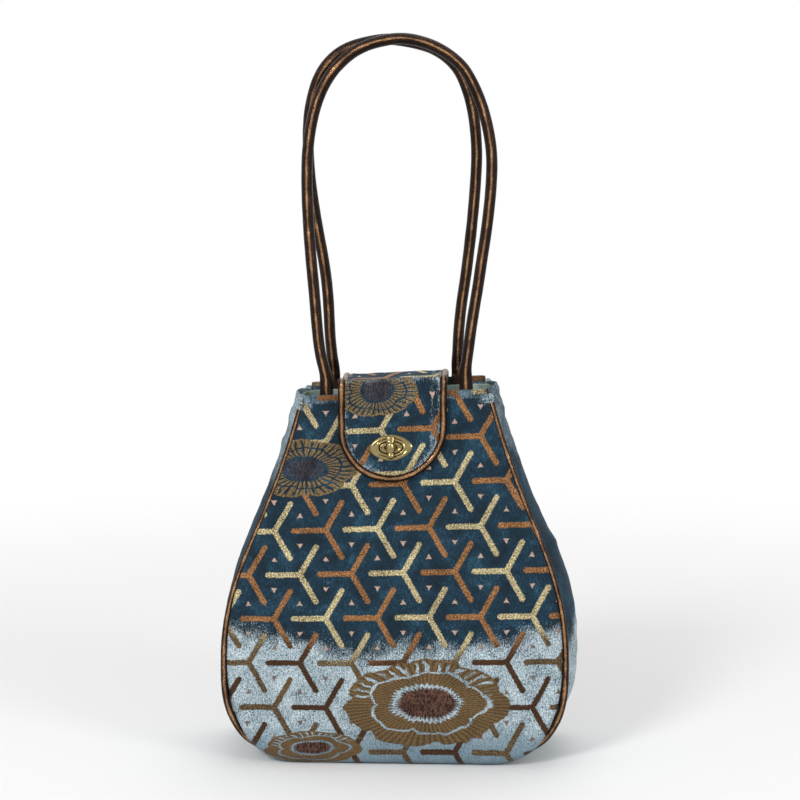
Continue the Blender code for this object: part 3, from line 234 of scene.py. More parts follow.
def bulge(x, z):
    side = 3.6
    t = np.clip((z - BELLY_Z) / (BAG_HEIGHT - BELLY_Z), 0.0, 1.0)
    middle = MOUTH_BULGE + (BELLY_BULGE - MOUTH_BULGE) * (0.5 + 0.5 * np.cos(math.pi * t))
    reach = np.where(z < BELLY_Z, BELLY_HALF_WIDTH, half_width(z))
    return side + (middle - side) * np.clip(1.0 - (np.abs(x) / reach) ** 2.4, 0.0, 1.0)


def roll_span(nz):
    """Where a panel's flat pattern begins and where its roll ends, as distances inside the seam."""
    start, radius = roll(nz)
    hold = PIPING_RADIUS + SEAT + PLAY
    end = hold * np.sin(start) + radius * np.cos(start)
    return end - radius * (math.pi / 2 - start), end


def panel_middle(xz, side):
    """The middle surface of the front (side -1) or back (+1) panel, before the mouth is tilted.

    The flat pattern is the view from the front, with the rolled edge unrolled around it.
    """
    xz = np.asarray(xz, float)
    foot, n, d = nearest_seam(xz)
    start, radius = roll(n[:, 1])
    begin, in_end = roll_span(n[:, 1])
    hold = PIPING_RADIUS + SEAT + PLAY
    out_end = hold * np.cos(start) + radius * (1.0 - np.sin(start))
    t = np.clip((d - begin) / (in_end - begin), 0.0, 1.0)
    angle = start + (math.pi / 2 - start) * t
    out = hold * np.cos(start) + radius * (np.sin(angle) - np.sin(start))
    inward = hold * np.sin(start) + radius * (np.cos(start) - np.cos(angle))
    k = smooth((d - in_end) / 24.0)
    out = np.where(d < in_end, out, out_end * (1 - k) + bulge(xz[:, 0], xz[:, 1]) * k)
    inside = (d < in_end)[:, None]
    flat = np.where(inside, foot + n * inward[:, None], xz)
    return np.stack([flat[:, 0], side * (half_depth(flat[:, 1]) + out), flat[:, 1]], axis=1)


def tilt(p):
    """Raises the right of the mouth and lowers its left, and leaves the base as it is."""
    p = np.array(p, float)
    share = smooth((p[..., 2] - 40.0) / (BAG_HEIGHT - 40.0))
    p[..., 2] += p[..., 0] * math.tan(math.radians(TOP_TILT)) * share
    return p


def normals(place, uv, outward):
    e = 0.05
    uv = np.asarray(uv, float)
    du = place(uv + (e, 0.0)) - place(uv - (e, 0.0))
    dv = place(uv + (0.0, e)) - place(uv - (0.0, e))
    n = np.cross(du, dv)
    n /= np.maximum(np.linalg.norm(n, axis=1), 1e-12)[:, None]
    return n * outward


def panel_surface(xz, side, offset):
    """Points at an offset from a panel's middle surface; the offset grows outwards."""

    def place(q):
        return panel_middle(q, side)

    n = normals(place, xz, 1.0 if side < 0 else -1.0)
    return panel_middle(xz, side) + n * np.reshape(offset, (-1, 1))


def lock_frame():
    """Origin on the front panel's face, then right, up and outward."""
    e = 0.5
    q = np.array([(LOCK_X, LOCK_Z), (LOCK_X + e, LOCK_Z), (LOCK_X, LOCK_Z + e)])
    p = tilt(panel_surface(q, -1, PANEL_THICK / 2))
    right = (p[1] - p[0]) / np.linalg.norm(p[1] - p[0])
    up = p[2] - p[0]
    up -= right * (up @ right)
    up /= np.linalg.norm(up)
    return p[0], right, up, np.cross(right, up)


LOCK_O, LOCK_R, LOCK_U, LOCK_N = lock_frame()
BASE_C = (SEAT, SEAT + LOCK_BASE_THICK)
BACKING_C = (BASE_C[1] + SEAT, BASE_C[1] + SEAT + BACKING_THICK)
FLAP_LINING_C = (BACKING_C[1] + SEAT, BACKING_C[1] + SEAT + FLAP_LINING_THICK)
FLAP_C = (FLAP_LINING_C[1] + SEAT, FLAP_LINING_C[1] + SEAT + FLAP_THICK)
EYE_C = (FLAP_C[1] + SEAT, FLAP_C[1] + SEAT + EYE_THICK)
BOSS_TOP = EYE_C[1] + 0.6
FLAP_MIDDLE_C = (FLAP_LINING_C[0] + FLAP_C[1]) / 2
STACK = FLAP_C[1] - FLAP_LINING_C[0]


def flatten(p, level):
    """Presses a surface flat under the lock."""
    rel = p - LOCK_O
    a = np.abs(rel @ LOCK_R) / (EYE_HALF_LENGTH + 1.5)
    b = np.abs(rel @ LOCK_U) / (EYE_HALF_HEIGHT + 1.5)
    k = smooth((1.9 - np.maximum(a, b)) / 0.9)
    return p + LOCK_N * ((level - rel @ LOCK_N) * k)[:, None]


def inside(points, polygon):
    x, y = points[:, 0][:, None], points[:, 1][:, None]
    a = np.asarray(polygon, float)
    b = np.roll(a, -1, axis=0)
    cross = (a[:, 1] > y) != (b[:, 1] > y)
    with np.errstate(divide="ignore", invalid="ignore"):
        at = a[:, 0] + (y - a[:, 1]) / (b[:, 1] - a[:, 1]) * (b[:, 0] - a[:, 0])
    return (cross & (x < at)).sum(1) % 2 == 1


def oval(half_length, half_height, count, power=2.0):
    t = np.arange(count) * 2 * math.pi / count
    c, s = np.cos(t), np.sin(t)
    return np.stack(
        [
            half_length * np.sign(c) * np.abs(c) ** (2 / power),
            half_height * np.sign(s) * np.abs(s) ** (2 / power),
        ],
        axis=1,
    )


def slot_outline(grow):
    return oval(SLOT_HALF_LENGTH + grow, SLOT_HALF_HEIGHT + grow, 24, 2.4)


KNOB_PROFILE = (  # share of the half height, half width, half depth, as shares of KNOB_RADIUS
    (-0.97, 0.34, 0.34), (-0.88, 0.70, 0.70), (-0.72, 0.90, 0.90), (-0.54, 0.80, 0.80), (-0.44, 0.66, 0.66),
    (-0.36, 0.92, 0.92), (0.0, 1.0, 1.0), (0.36, 0.92, 0.92), (0.42, 0.72, 0.66), (0.50, 0.86, 0.50),
    (0.80, 0.96, 0.42), (0.93, 0.80, 0.38), (0.99, 0.50, 0.28),
)


FLAP_BEND = 4.2  # radius of the flap's turn over each rim


def flap_levels():
    """Lengths along the flap from its back seam: up the back, over the mouth and down the front."""
    up = FLAP_SEAM_DROP + FLAP_LIFT - FLAP_BEND
    bend = FLAP_BEND * math.pi / 2
    across = 2 * (MOUTH_HALF_DEPTH + MOUTH_BULGE + PANEL_THICK / 2 + FLAP_LIFT - FLAP_BEND)
    down = BAG_HEIGHT + FLAP_LIFT - FLAP_BEND - (FLAP_END_Z + FLAP_PIPING_RADIUS)
    return up, up + bend, up + bend + across, up + 2 * bend + across, up + 2 * bend + across + down


FLAP_V = flap_levels()
FLAP_PIPE_X = FLAP_HALF_WIDTH - FLAP_PIPING_RADIUS


def flap_middle(xv):
    """The middle of the flap's two layers; v runs from the back seam to the rounded end."""
    xv = np.asarray(xv, float)
    x, v = xv[:, 0], xv[:, 1]
    v1, v2, v3, v4 = FLAP_V[:4]
    back_rim, front_rim = BAG_HEIGHT + BACK_RISE, BAG_HEIGHT
    turn_b = back_rim + FLAP_LIFT - FLAP_BEND
    turn_f = front_rim + FLAP_LIFT - FLAP_BEND
    reach = np.minimum(np.abs(x), 60.0) * np.sign(x)

    def wall(side, z):
        lift = FLAP_LIFT + PANEL_THICK / 2
        if side < 0:
            end = smooth((FLAP_END_Z + 36.0 - z) / 30.0)
            lift = lift - (FLAP_LIFT - FLAP_PIPING_RADIUS - SEAT) * end
        return panel_surface(np.stack([reach, z], axis=1), side, lift)

    z_back = np.clip(back_rim - FLAP_SEAM_DROP + v, 0, turn_b)
    z_front = np.where(v > v4, turn_f - (v - v4), turn_f)
    back, front = wall(1, z_back), wall(-1, z_front)
    yb, yf = back[:, 1], front[:, 1]
    a = (v - v1) / (v2 - v1) * math.pi / 2
    b = (v - v3) / (v4 - v3) * math.pi / 2
    m = np.clip((v - v2) / (v3 - v2), 0, 1)
    top_b = (yb - FLAP_BEND, turn_b + FLAP_BEND)
    top_f = (yf + FLAP_BEND, turn_f + FLAP_BEND)
    y = np.where(v < v1, yb, 0.0)
    z = np.where(v < v1, z_back, 0.0)
    first = (v >= v1) & (v < v2)
    y = np.where(first, yb - FLAP_BEND * (1 - np.cos(a)), y)
    z = np.where(first, turn_b + FLAP_BEND * np.sin(a), z)
    over = (v >= v2) & (v <= v3)
    y = np.where(over, top_b[0] + (top_f[0] - top_b[0]) * m, y)
    z = np.where(over, top_b[1] + (top_f[1] - top_b[1]) * m, z)
    last = (v > v3) & (v <= v4)
    y = np.where(last, top_f[0] - FLAP_BEND * np.sin(b), y)
    z = np.where(last, turn_f + FLAP_BEND * np.cos(b), z)
    down = v > v4
    y = np.where(down, yf, y)
    z = np.where(down, front[:, 2], z)
    p = tilt(np.stack([x, y, z], axis=1))
    return np.where(down[:, None], flatten(p, FLAP_MIDDLE_C), p)


def root_point(x, side):
    """Where a handle's flat root turns, above the rim and between panel and lining."""
    rim = BAG_HEIGHT + (BACK_RISE if side > 0 else 0.0)
    q = panel_surface(np.array([(x, rim - 2.0)]), side, -(PANEL_THICK / 2 + SEAT + PLAY + TAB_THICK / 2))[0]
    return tilt(np.array([x, q[1], rim + HINGE_RISE]))


def handle_path(left, right, arch, height):
    """The arch in its own plane: distance along the hinge line from its middle, and height."""
    span = np.linalg.norm(right - left)
    middle_x = (left[0] + right[0]) / 2
    points = [(-span / 2, 0.0), (-span / 2, ROOT_LENGTH * 0.55)]
    points += [(xl - middle_x, f * height) for f, xl, _ in arch]
    points += [(xr - middle_x, f * height) for f, _, xr in arch[::-1]]
    points += [(span / 2, ROOT_LENGTH * 0.55), (span / 2, 0.0)]
    p = np.array(points)
    ext = np.concatenate([[2 * p[0] - p[1]], p, [2 * p[-1] - p[-2]]])
    out = []
    for i in range(1, len(ext) - 2):
        a, b, c, d = ext[i - 1 : i + 3]
        for t in np.linspace(0, 1, 8, endpoint=False):
            out.append(
                0.5 * (2 * b + (c - a) * t + (2 * a - 5 * b + 4 * c - d) * t * t + (3 * b - a - 3 * c + d) * t**3)
            )
    out.append(p[-1])
    return np.array(out)


def linear(code):
    """An sRGB hex colour as a linear RGBA."""
    c = np.array([int(code[i : i + 2], 16) / 255 for i in (1, 3, 5)])
    c = np.where(c <= 0.04045, c / 12.92, ((c + 0.055) / 1.055) ** 2.4)
    return (*[float(x) for x in c], 1.0)


CHOICE = {"Math": "operation", "VectorMath": "operation", "Mix": "data_type", "TexVoronoi": "feature"}


def node(tree, kind, inputs=(), **settings):
    """Adds a node, sets its properties, then sets or links its inputs, by name or in their order.

    A second word in kind is the node's main choice. A node given as an input stands for its first
    output in use, and a hex code for its colour.
    """
    kind, _, choice = kind.partition(" ")
    n = tree.nodes.new("ShaderNode" + kind)
    if choice:
        settings[CHOICE[kind]] = choice
    for key, value in settings.items():
        setattr(n, key, value)
    if not isinstance(inputs, dict):
        inputs = inputs if isinstance(inputs, tuple) else (inputs,)
        inputs = dict(zip([i for i, socket in enumerate(n.inputs) if socket.enabled], inputs))
    for key, value in inputs.items():
        if isinstance(value, bpy.types.Node):
            value = next(socket for socket in value.outputs if socket.enabled)
        if isinstance(value, bpy.types.NodeSocket):
            tree.links.new(value, n.inputs[key])
        else:
            n.inputs[key].default_value = linear(value) if isinstance(value, str) else value
    return n


def add_up(tree, parts, start=0.0):
    """The sum of values, each times its weight."""
    for value, weight in parts:
        start = node(tree, "Math MULTIPLY_ADD", (value, weight, start))
    return start


def ripple(tree, value, rate, shift=0.0):
    """The sine of a value times a rate, shifted."""
    return node(tree, "Math SINE", node(tree, "Math MULTIPLY_ADD", (value, rate, shift)))


def new_material(name):
    """A material and its tree, which is still empty."""
    m = bpy.data.materials.new(name)
    m.use_nodes = True
    m.node_tree.nodes.clear()
    return m, m.node_tree


def surface(tree, look, height, strength, depth):
    """Ends a material: its look over a bump of that height, whose full depth is in metres."""
    bump = node(tree, "Bump", {"Strength": strength, "Distance": depth, "Height": height})
    node(tree, "OutputMaterial", {"Surface": node(tree, "BsdfPrincipled", {**look, "Normal": bump})})


def cloth_millimetres(tree):
    """The piece's own flat map, in millimetres."""
    return node(tree, "VectorMath MULTIPLY", (node(tree, "UVMap", uv_map="UVMap"), (1000.0, 1000.0, 1000.0)))


def wrinkle(points, size, octaves, seed):
    """Noise between about -1 and 1 at points in millimetres, with folds of about that size."""
    q = np.asarray(points, float) / size
    return np.array([noise.fractal(Vector(p) + Vector((seed, 0.37 * seed, 1.7 * seed)), 1.0, 2.0, octaves) for p in q])


def fade(x, low, high):
    """0 up to low, 1 from high, smooth between."""
    return smooth((np.asarray(x, float) - low) / (high - low))


def skin(name, cols, rows, place, chart, materials, replaces=(), body="bag",
         flip=False, merge=False, attributes=None, drop=None, wall=None):
    """A grid of quads laid on a surface.

    place turns u and v, from 0 to 1, into points in millimetres, and chart into the pattern's
    own flat millimetres, which become the UV map. Attributes are named values for each point.
    wall gives the cloth a thickness in millimetres, measured inwards.
    """
    bm = bmesh.new()
    bmesh.ops.create_grid(bm, x_segments=cols, y_segments=rows, size=0.5)
    uv = np.array([v.co[:2] for v in bm.verts]) + 0.5
    spots = place(uv) * MM
    flat = chart(uv) * MM
    layer = bm.loops.layers.uv.new("UVMap")
    bm.verts.index_update()
    for face in bm.faces:
        for loop in face.loops:
            loop[layer].uv = flat[loop.vert.index]
    for key, values in (attributes(uv) if attributes else {}).items():
        values = np.asarray(values, float)
        kinds = bm.verts.layers.float if values.ndim == 1 else bm.verts.layers.float_vector
        field = kinds.new(key)
        for v, value in zip(bm.verts, values):
            v[field] = value
    if drop is not None:
        gone = drop(uv)
        faces = [f for f in bm.faces if all(gone[v.index] for v in f.verts)]
    for v, spot in zip(bm.verts, spots):
        v.co = spot
    if drop is not None:
        bmesh.ops.delete(bm, geom=faces, context="FACES")
    if flip:
        bmesh.ops.reverse_faces(bm, faces=bm.faces)
    if merge:
        bmesh.ops.remove_doubles(bm, verts=bm.verts, dist=2e-6)
        bmesh.ops.recalc_face_normals(bm, faces=bm.faces)
    return finish_piece(name, bm, materials, replaces, body, wall)


def finish_piece(name, bm, materials, replaces=(), body="bag", wall=None):
    mesh = bpy.data.meshes.new(name)
    bm.to_mesh(mesh)
    bm.free()
    for m in materials:
        mesh.materials.append(m)
    mesh.shade_smooth()
    ob = bpy.data.objects.new(name, mesh)
    bpy.context.scene.collection.objects.link(ob)
    if wall:
        solid = ob.modifiers.new("cloth thickness", "SOLIDIFY")
        solid.thickness = wall * MM
        solid.offset = -1.0
    if body:
        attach(ob, body)
    if replaces:
        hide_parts(*replaces)
    return ob


def along_line(points, count):
    """The same line with count + 1 even steps."""
    points = np.asarray(points, float)
    length = np.concatenate([[0.0], np.cumsum(np.linalg.norm(np.diff(points, axis=0), axis=1))])
    at = np.linspace(0.0, length[-1], count + 1)
    return np.stack([np.interp(at, length, points[:, k]) for k in range(points.shape[1])], axis=1), length[-1]


def pick(rows, share):
    """Values of evenly spaced rows at shares from 0 to 1."""
    at = np.linspace(0.0, 1.0, len(rows))
    return np.stack([np.interp(share, at, rows[:, k]) for k in range(rows.shape[1])], axis=1)


def tube_frames(path, first):
    """Two directions square to a path at each of its points, turning as little as they can."""
    tangent = np.gradient(path, axis=0)
    tangent /= np.linalg.norm(tangent, axis=1)[:, None]
    side = np.zeros_like(path)
    d = np.asarray(first, float)
    for i, t in enumerate(tangent):
        d = d - t * (d @ t)
        d /= np.linalg.norm(d)
        side[i] = d
    return side, np.cross(tangent, side)


LUMP = 5.0  # length of one lump along a bead


def pipe(name, path, radius, cols, rows, first, material, replaces=(), rough=0.0, ends=2.0,
         seed=3.0, crest=0.0, full=None, attributes=None):
    """A round bead of leather on a path, closed at both ends; the map starts at its crest, where the painted highlight
    falls, in turns from first.
    """
    line, length = along_line(path, rows)
    side, up = tube_frames(line, first)

    def place(uv):
        a = uv[:, 0] * 2 * math.pi
        s = np.clip(uv[:, 1], 0.0, 1.0)
        to_end = np.minimum(s, 1.0 - s) * length
        r = radius * np.sqrt(np.clip(1.0 - (1.0 - np.minimum(to_end / ends, 1.0)) ** 2, 0.0, 1.0))
        r = r * (np.interp(s, np.linspace(0.0, 1.0, len(full)), full) if full is not None else 1.0)
        spots = zip(np.cos(a), np.sin(a), s * length / LUMP + seed)
        r = r * (1.0 + rough * np.array([noise.noise(Vector(p)) for p in spots]))
        return pick(line, s) + r[:, None] * (np.cos(a)[:, None] * pick(side, s) + np.sin(a)[:, None] * pick(up, s))

    def chart(uv):
        return (uv - (crest, 0.0)) * (2 * math.pi * radius, length)

    return skin(name, cols, rows, place, chart, [material], replaces, merge=True, attributes=attributes)


# Colours, as they are seen in plain light.
VELVET_DARK, VELVET_MID, VELVET_LIGHT = "#08171f", "#102c3c", "#2f566b"
# painted sheen of the leaning pile: speckled pale silver, and an even blue-grey towards the bottom seam and along the
# rim
NAP_SHEEN_LOW, NAP_SHEEN_HIGH = "#2c4b5a", "#cbd9de"
EVEN_SHEEN_LOW, EVEN_SHEEN_HIGH = "#546b78", "#8498a3"
# metal thread, from the dark of its weave up to its painted glint
GOLD_DARK, GOLD_GLINT = "#453a22", "#e6d7a8"
COPPER_DARK, COPPER_GLINT = "#382214", "#b98454"
# the motif painted in shade, for where the pile shows its painted sheen
SHADE_DARK, SHADE_COPPER, SHADE_GOLD = "#2a190f", "#55381f", "#7a6648"
TRIANGLE, TRIANGLE_SHADE = "#c2a696", "#76655e"
BLOOM_DARK, BLOOM_SHADE, BLOOM_GOLD = "#30241a", "#7f6642", "#a18a60"
HEART_DARK, HEART_LIGHT = "#28140f", "#6b4c3e"
# leather from dark flanks up to the painted highlight along the crest of a roll
LEATHER_DARK, LEATHER_MID, LEATHER_HIGHLIGHT = "#150a05", "#3a2113", "#c29468"
BRASS_DARK, BRASS_LIGHT = "#75663f", "#aa9a6e"
SATIN_DARK, SATIN_LIGHT = "#74897f", "#a9bbb1"
CARD_DARK, CARD_LIGHT = "#5d4c38", "#75624b"

ARM_PARTS = ((0.0, "sum"), (120.0, "column"), (-120.0, "row"))  # turn of each arm, and what its tone counts
LATTICE_RISE = LATTICE * math.sqrt(0.75)  # from one row of junctions to the next
RIB = 1.1  # from one rib of metal thread to the next
PETAL_ROUNDS = ((3.5, 0.90, 0.10), (2.5, 0.60, 0.12))  # half the petals, inner size and swell of each round
COMB_RATE, FRINGE_RATE, HATCH_RATE = 37.0, 43.0, 75.0  # lines in one turn about a blossom's heart


def three_arms(t, moved):
    """How far the nearest arm of the lattice's motif is, which of two threads it has, and the way along it."""
    best = tone = along = None
    for turn, count in ARM_PARTS:
        turned = node(t, "VectorRotate", {"Vector": moved, "Angle": math.radians(turn)}, rotation_type="Z_AXIS")
        x, y = node(t, "SeparateXYZ", turned).outputs[:2]
        row = node(t, "Math ROUND", node(t, "Math DIVIDE", (y, LATTICE_RISE)))
        x = node(t, "Math MULTIPLY_ADD", (row, -LATTICE / 2, x))
        column = node(t, "Math CEIL", node(t, "Math DIVIDE", (x, LATTICE)))
        x = node(t, "Math MULTIPLY_ADD", (column, -LATTICE, x))
        y = node(t, "Math MULTIPLY_ADD", (row, -LATTICE_RISE, y))
        past = node(t, "Math SUBTRACT", (-ARM_LENGTH + ARM_WIDTH / 2, x))
        past = node(t, "Math MAXIMUM", (past, 0.0))
        far = node(t, "VectorMath LENGTH", node(t, "CombineXYZ", (past, y)))
        number = {"row": row, "column": column}.get(count) or node(t, "Math ADD", (row, column))
        odd = node(t, "Math FLOORED_MODULO", (number, 2.0))
        if best is None:
            best, tone, along = far, odd, x
            continue
        nearer = node(t, "Math LESS_THAN", (far, best))
        tone = node(t, "Mix", (nearer, tone, odd))
        along = node(t, "Mix", (nearer, along, x))
        best = node(t, "Math MINIMUM", (far, best))
    return best, tone, along


def triangles(t, moved):
    """How far a place is from the middle of the lattice's nearest cell, measured so that equals make a triangle."""
    x, y = node(t, "SeparateXYZ", moved).outputs[:2]
    q = node(t, "Math DIVIDE", (y, LATTICE_RISE))
    p = node(t, "Math MULTIPLY_ADD", (q, -0.5, node(t, "Math DIVIDE", (x, LATTICE))))
    p, q = (node(t, "Math FRACT", value) for value in (p, q))
    nearest = None
    for third, up in ((1 / 3, 1.0), (2 / 3, -1.0)):
        dp, dq = (node(t, "Math SUBTRACT", (value, third)) for value in (p, q))
        dx = node(t, "Math ABSOLUTE", node(t, "Math MULTIPLY_ADD", (dq, 0.5, dp)))
        dx = node(t, "Math MULTIPLY", (dx, LATTICE * 0.866))
        slope = node(t, "Math MULTIPLY_ADD", (dq, 0.5 * LATTICE_RISE * up, dx))
        one = node(t, "Math MAXIMUM", (slope, node(t, "Math MULTIPLY", (dq, -LATTICE_RISE * up))))
        nearest = one if nearest is None else node(t, "Math MINIMUM", (nearest, one))
    return nearest


def blossoms(t, place, cloth, leaning_sheen, tuft, glint, shine):
    """Wide rounded petals about a dotted heart, in the piece's own blossom coordinates.

    The pile shows between the petals, in a comb of narrow slits and in a fringe round the heart. Gives
    where a blossom is, where its thread is, and its colour.
    """
    spot = node(t, "Attribute", attribute_name="blossom").outputs["Vector"]
    bend = node(t, "TexNoise", {"Vector": place, "Scale": 0.07, "Detail": 2.0})
    x, y = node(t, "SeparateXYZ", spot).outputs[:2]
    angle = node(t, "Math ARCTAN2", (y, x))
    inward = node(t, "Math MULTIPLY_ADD", (bend, 0.22, node(t, "VectorMath LENGTH", spot)))
    inward = node(t, "Math SUBTRACT", (inward, 0.11))
    rounds = []
    for petals, size, swell in PETAL_ROUNDS:
        wave = node(t, "Math ABSOLUTE", ripple(t, angle, petals, 0.6 * petals))
        wave = node(t, "Math MULTIPLY_ADD", (node(t, "Math POWER", (wave, 0.6)), swell, size))
        rounds.append(node(t, "Math SUBTRACT", (wave, inward)))
    outer, inner = rounds
    bloom = node(t, "MapRange", (outer, 0.0, 0.02))
    comb = ripple(t, angle, COMB_RATE, node(t, "Math MULTIPLY", (bend, 12.0)))
    slit = node(t, "MapRange", (node(t, "Math MULTIPLY", (comb, glint)), 0.18, 0.28))
    slit = node(t, "Math MULTIPLY", (slit, node(t, "MapRange", (outer, 0.04, 0.10))))
    # on leaning pile the slits are in the upper petals; on the dark pile they run all round, and on to the heart
    patches = node(t, "TexNoise", {"Vector": spot, "Scale": 2.3, "Detail": 2.0})
    upper = node(t, "MapRange", (node(t, "Math MULTIPLY_ADD", (y, 0.45, patches)), 0.56, 0.66))
    upright = node(t, "Math SUBTRACT", (1.0, leaning_sheen))
    for part in (upper, node(t, "MapRange", (inner, 0.0, -0.05))):
        slit = node(t, "Math MULTIPLY", (slit, node(t, "Math MAXIMUM", (part, upright))))
    line = node(t, "MapRange", (node(t, "Math ABSOLUTE", inner), 0.030, 0.014))
    fringe = node(t, "Math MULTIPLY_ADD", (ripple(t, angle, FRINGE_RATE), 0.022, inward))
    between = node(t, "Math MAXIMUM", (slit, line))
    between = node(t, "Math MAXIMUM", (between, node(t, "MapRange", (fringe, 0.45, 0.42))))
    # the flower's own weave runs in fine lines out from the heart, brightened by the thread's painted glints
    hatch = node(t, "Math MULTIPLY_ADD", (ripple(t, angle, HATCH_RATE), 0.4, shine), use_clamp=True)
    hatch = node(t, "Math MULTIPLY_ADD", (hatch, 0.75, 0.2))
    fleck = node(t, "Math MAXIMUM", (node(t, "MapRange", (tuft, 0.42, 0.56, 0.45, 1.0)), leaning_sheen))
    hatch = node(t, "Math MULTIPLY", (hatch, fleck))
    # where the pile shows its painted sheen the blossom's gold is painted in shade
    colour = node(t, "Mix RGBA", (hatch, BLOOM_DARK, node(t, "Mix RGBA", (leaning_sheen, BLOOM_GOLD, BLOOM_SHADE))))
    colour = node(t, "Mix RGBA", (between, colour, cloth))
    # the heart's dots carry the painted glints too
    dots = node(t, "Mapping", {"Vector": place, "Scale": (1.0, 0.5, 1.0)})
    dots = node(t, "TexVoronoi", {"Vector": dots, "Scale": 0.55, "Randomness": 0.7})
    dots = node(t, "Math MULTIPLY", (node(t, "MapRange", (dots, 0.3, 0.62)), shine))
    core = node(t, "MapRange", (fringe, 0.39, 0.33))
    core = node(t, "Math MULTIPLY", (core, node(t, "MapRange", (leaning_sheen, 0.0, 1.0, 0.35, 1.0))))
    colour = node(t, "Mix RGBA", (core, colour, node(t, "Mix RGBA", (dots, HEART_DARK, HEART_LIGHT))))
    return bloom, node(t, "Math SUBTRACT", (bloom, between), use_clamp=True), colour


def velvet(name, patterned=True):
    """Crushed silk velvet, woven with metallic weft in the motifs and steamed flat in patches.

    The pile is deep and dark, with a pale silver sheen painted into its colour where it leans; the motifs
    show as ribbed metal thread without pile.
    """
    m, t = new_material(name)
    place = cloth_millimetres(t)
    # crushed patches, 20 mm down to 2 mm
    crush = node(t, "TexNoise", {"Vector": place, "Scale": 0.05, "Detail": 7.0, "Roughness": 0.62, "Distortion": 0.6})
    # the pile leans along the cloth in streaks about 1 mm wide and 5 mm long
    streak = node(t, "Mapping", {"Vector": place, "Scale": (1.0, 0.22, 1.0)})
    streak = node(t, "TexNoise", {"Vector": streak, "Scale": 0.9, "Detail": 3.0, "Roughness": 0.6})
    # single tufts are about 0.3 mm apart; drawn at 0.6 mm so that they show
    tuft = node(t, "Mapping", {"Vector": place, "Scale": (1.0, 0.6, 1.0)})
    tuft = node(t, "TexNoise", {"Vector": tuft, "Scale": 1.15, "Detail": 2.0, "Roughness": 0.7})
    lean = add_up(t, ((crush, 0.42), (streak, 0.24), (tuft, 0.34)))
    pile = node(t, "ValToRGB", lean)
    ramp = pile.color_ramp.elements
    ramp[0].position, ramp[0].color = 0.40, linear(VELVET_DARK)
    ramp[1].position, ramp[1].color = 0.64, linear(VELVET_LIGHT)
    ramp.new(0.52).color = linear(VELVET_MID)
    glitter = add_up(t, ((tuft, 0.75), (streak, 0.35), (crush, 0.30)))
    glitter = node(t, "MapRange", (glitter, 0.56, 0.84))
    # painted sheen of the leaning pile: speckled pale silver, and an even blue-grey where pressed is set (the bottom
    # seam and the rim)
    pressed = node(t, "Attribute", attribute_name="pressed").outputs["Fac"]
    pale = node(t, "Mix RGBA", (glitter, NAP_SHEEN_LOW, NAP_SHEEN_HIGH))
    pale = node(t, "Mix RGBA", (pressed, pale, node(t, "Mix RGBA", (glitter, EVEN_SHEEN_LOW, EVEN_SHEEN_HIGH))))
    # the painted sheen has a ragged edge that follows the streaks
    nap_sheen = node(t, "Attribute", attribute_name="nap_sheen").outputs["Fac"]
    leaning_sheen = node(t, "MapRange", (add_up(t, ((tuft, 1.1), (streak, 0.5), (crush, 0.7)), nap_sheen), 1.45, 2.0))
    cloth = node(t, "Mix RGBA", (leaning_sheen, pile, pale))
    height = node(t, "Math MULTIPLY", (lean, 0.6))
    look = {"Base Color": cloth, "Roughness": 0.85, "Specular IOR Level": 0.25,
            "Sheen Weight": 0.08, "Sheen Roughness": 0.35, "Sheen Tint": "#b9d4e4"}
    if patterned:
        moved = node(t, "VectorMath SUBTRACT", (place, (*LATTICE_AT, 0.0)))
        far, tone, along = three_arms(t, moved)
        # the woven edge wanders by a few tenths of a millimetre
        edge = node(t, "TexNoise", {"Vector": place, "Scale": 0.7, "Detail": 2.0})
        wander = node(t, "Math MULTIPLY_ADD", (edge, 2.2, -1.1))
        arm = node(t, "Math ADD", (far, wander))
        arm = node(t, "MapRange", (arm, ARM_WIDTH / 2, ARM_WIDTH / 2 - 0.6))
        triangle = node(t, "Math ADD", (triangles(t, moved), wander))
        triangle = node(t, "MapRange", (triangle, 1.55, 0.95))
        # metal thread, laid in ribs across each arm; its glints are painted highlights, from each metal's dark colour
        # up to its glint colour
        ribs = ripple(t, along, 2 * math.pi / RIB, node(t, "Math MULTIPLY", (edge, 5.0)))
        glint = node(t, "TexNoise", {"Vector": place, "Scale": 0.8, "Detail": 3.0, "Roughness": 0.75})
        shine = add_up(t, ((glint, 3.4), (ribs, 0.24), (crush, 0.9)), -1.2)
        shine = node(t, "MapRange", (shine, 0.55, 1.28))
        gold = node(t, "Mix RGBA", (shine, GOLD_DARK, GOLD_GLINT))
        copper = node(t, "Mix RGBA", (shine, COPPER_DARK, COPPER_GLINT))
        # where the pile shows its painted sheen the thread is painted in shade instead
        shade = node(t, "Mix RGBA", (shine, SHADE_DARK, node(t, "Mix RGBA", (tone, SHADE_GOLD, SHADE_COPPER))))
        thread = node(t, "Mix RGBA", (leaning_sheen, node(t, "Mix RGBA", (tone, gold, copper)), shade))
        dot = node(t, "Mix RGBA", (leaning_sheen, TRIANGLE, TRIANGLE_SHADE))
        bloom, solid, petals = blossoms(t, place, cloth, leaning_sheen, tuft, glint, shine)
        for share, over in ((triangle, dot), (arm, thread), (bloom, petals)):
            look["Base Color"] = node(t, "Mix RGBA", (share, look["Base Color"], over))
        woven = node(t, "Math MAXIMUM", (arm, triangle))
        woven = node(t, "Math MAXIMUM", (woven, solid))
        height = node(t, "Mix", (woven, height, node(t, "Math MULTIPLY_ADD", (shine, 0.5, 0.6))))
        look["Metallic"] = node(t, "Math MULTIPLY", (woven, 0.45))
        look["Roughness"] = node(t, "Mix", (woven, 0.85, 0.48))
    surface(t, look, height, 0.8, 0.0009)
    return m


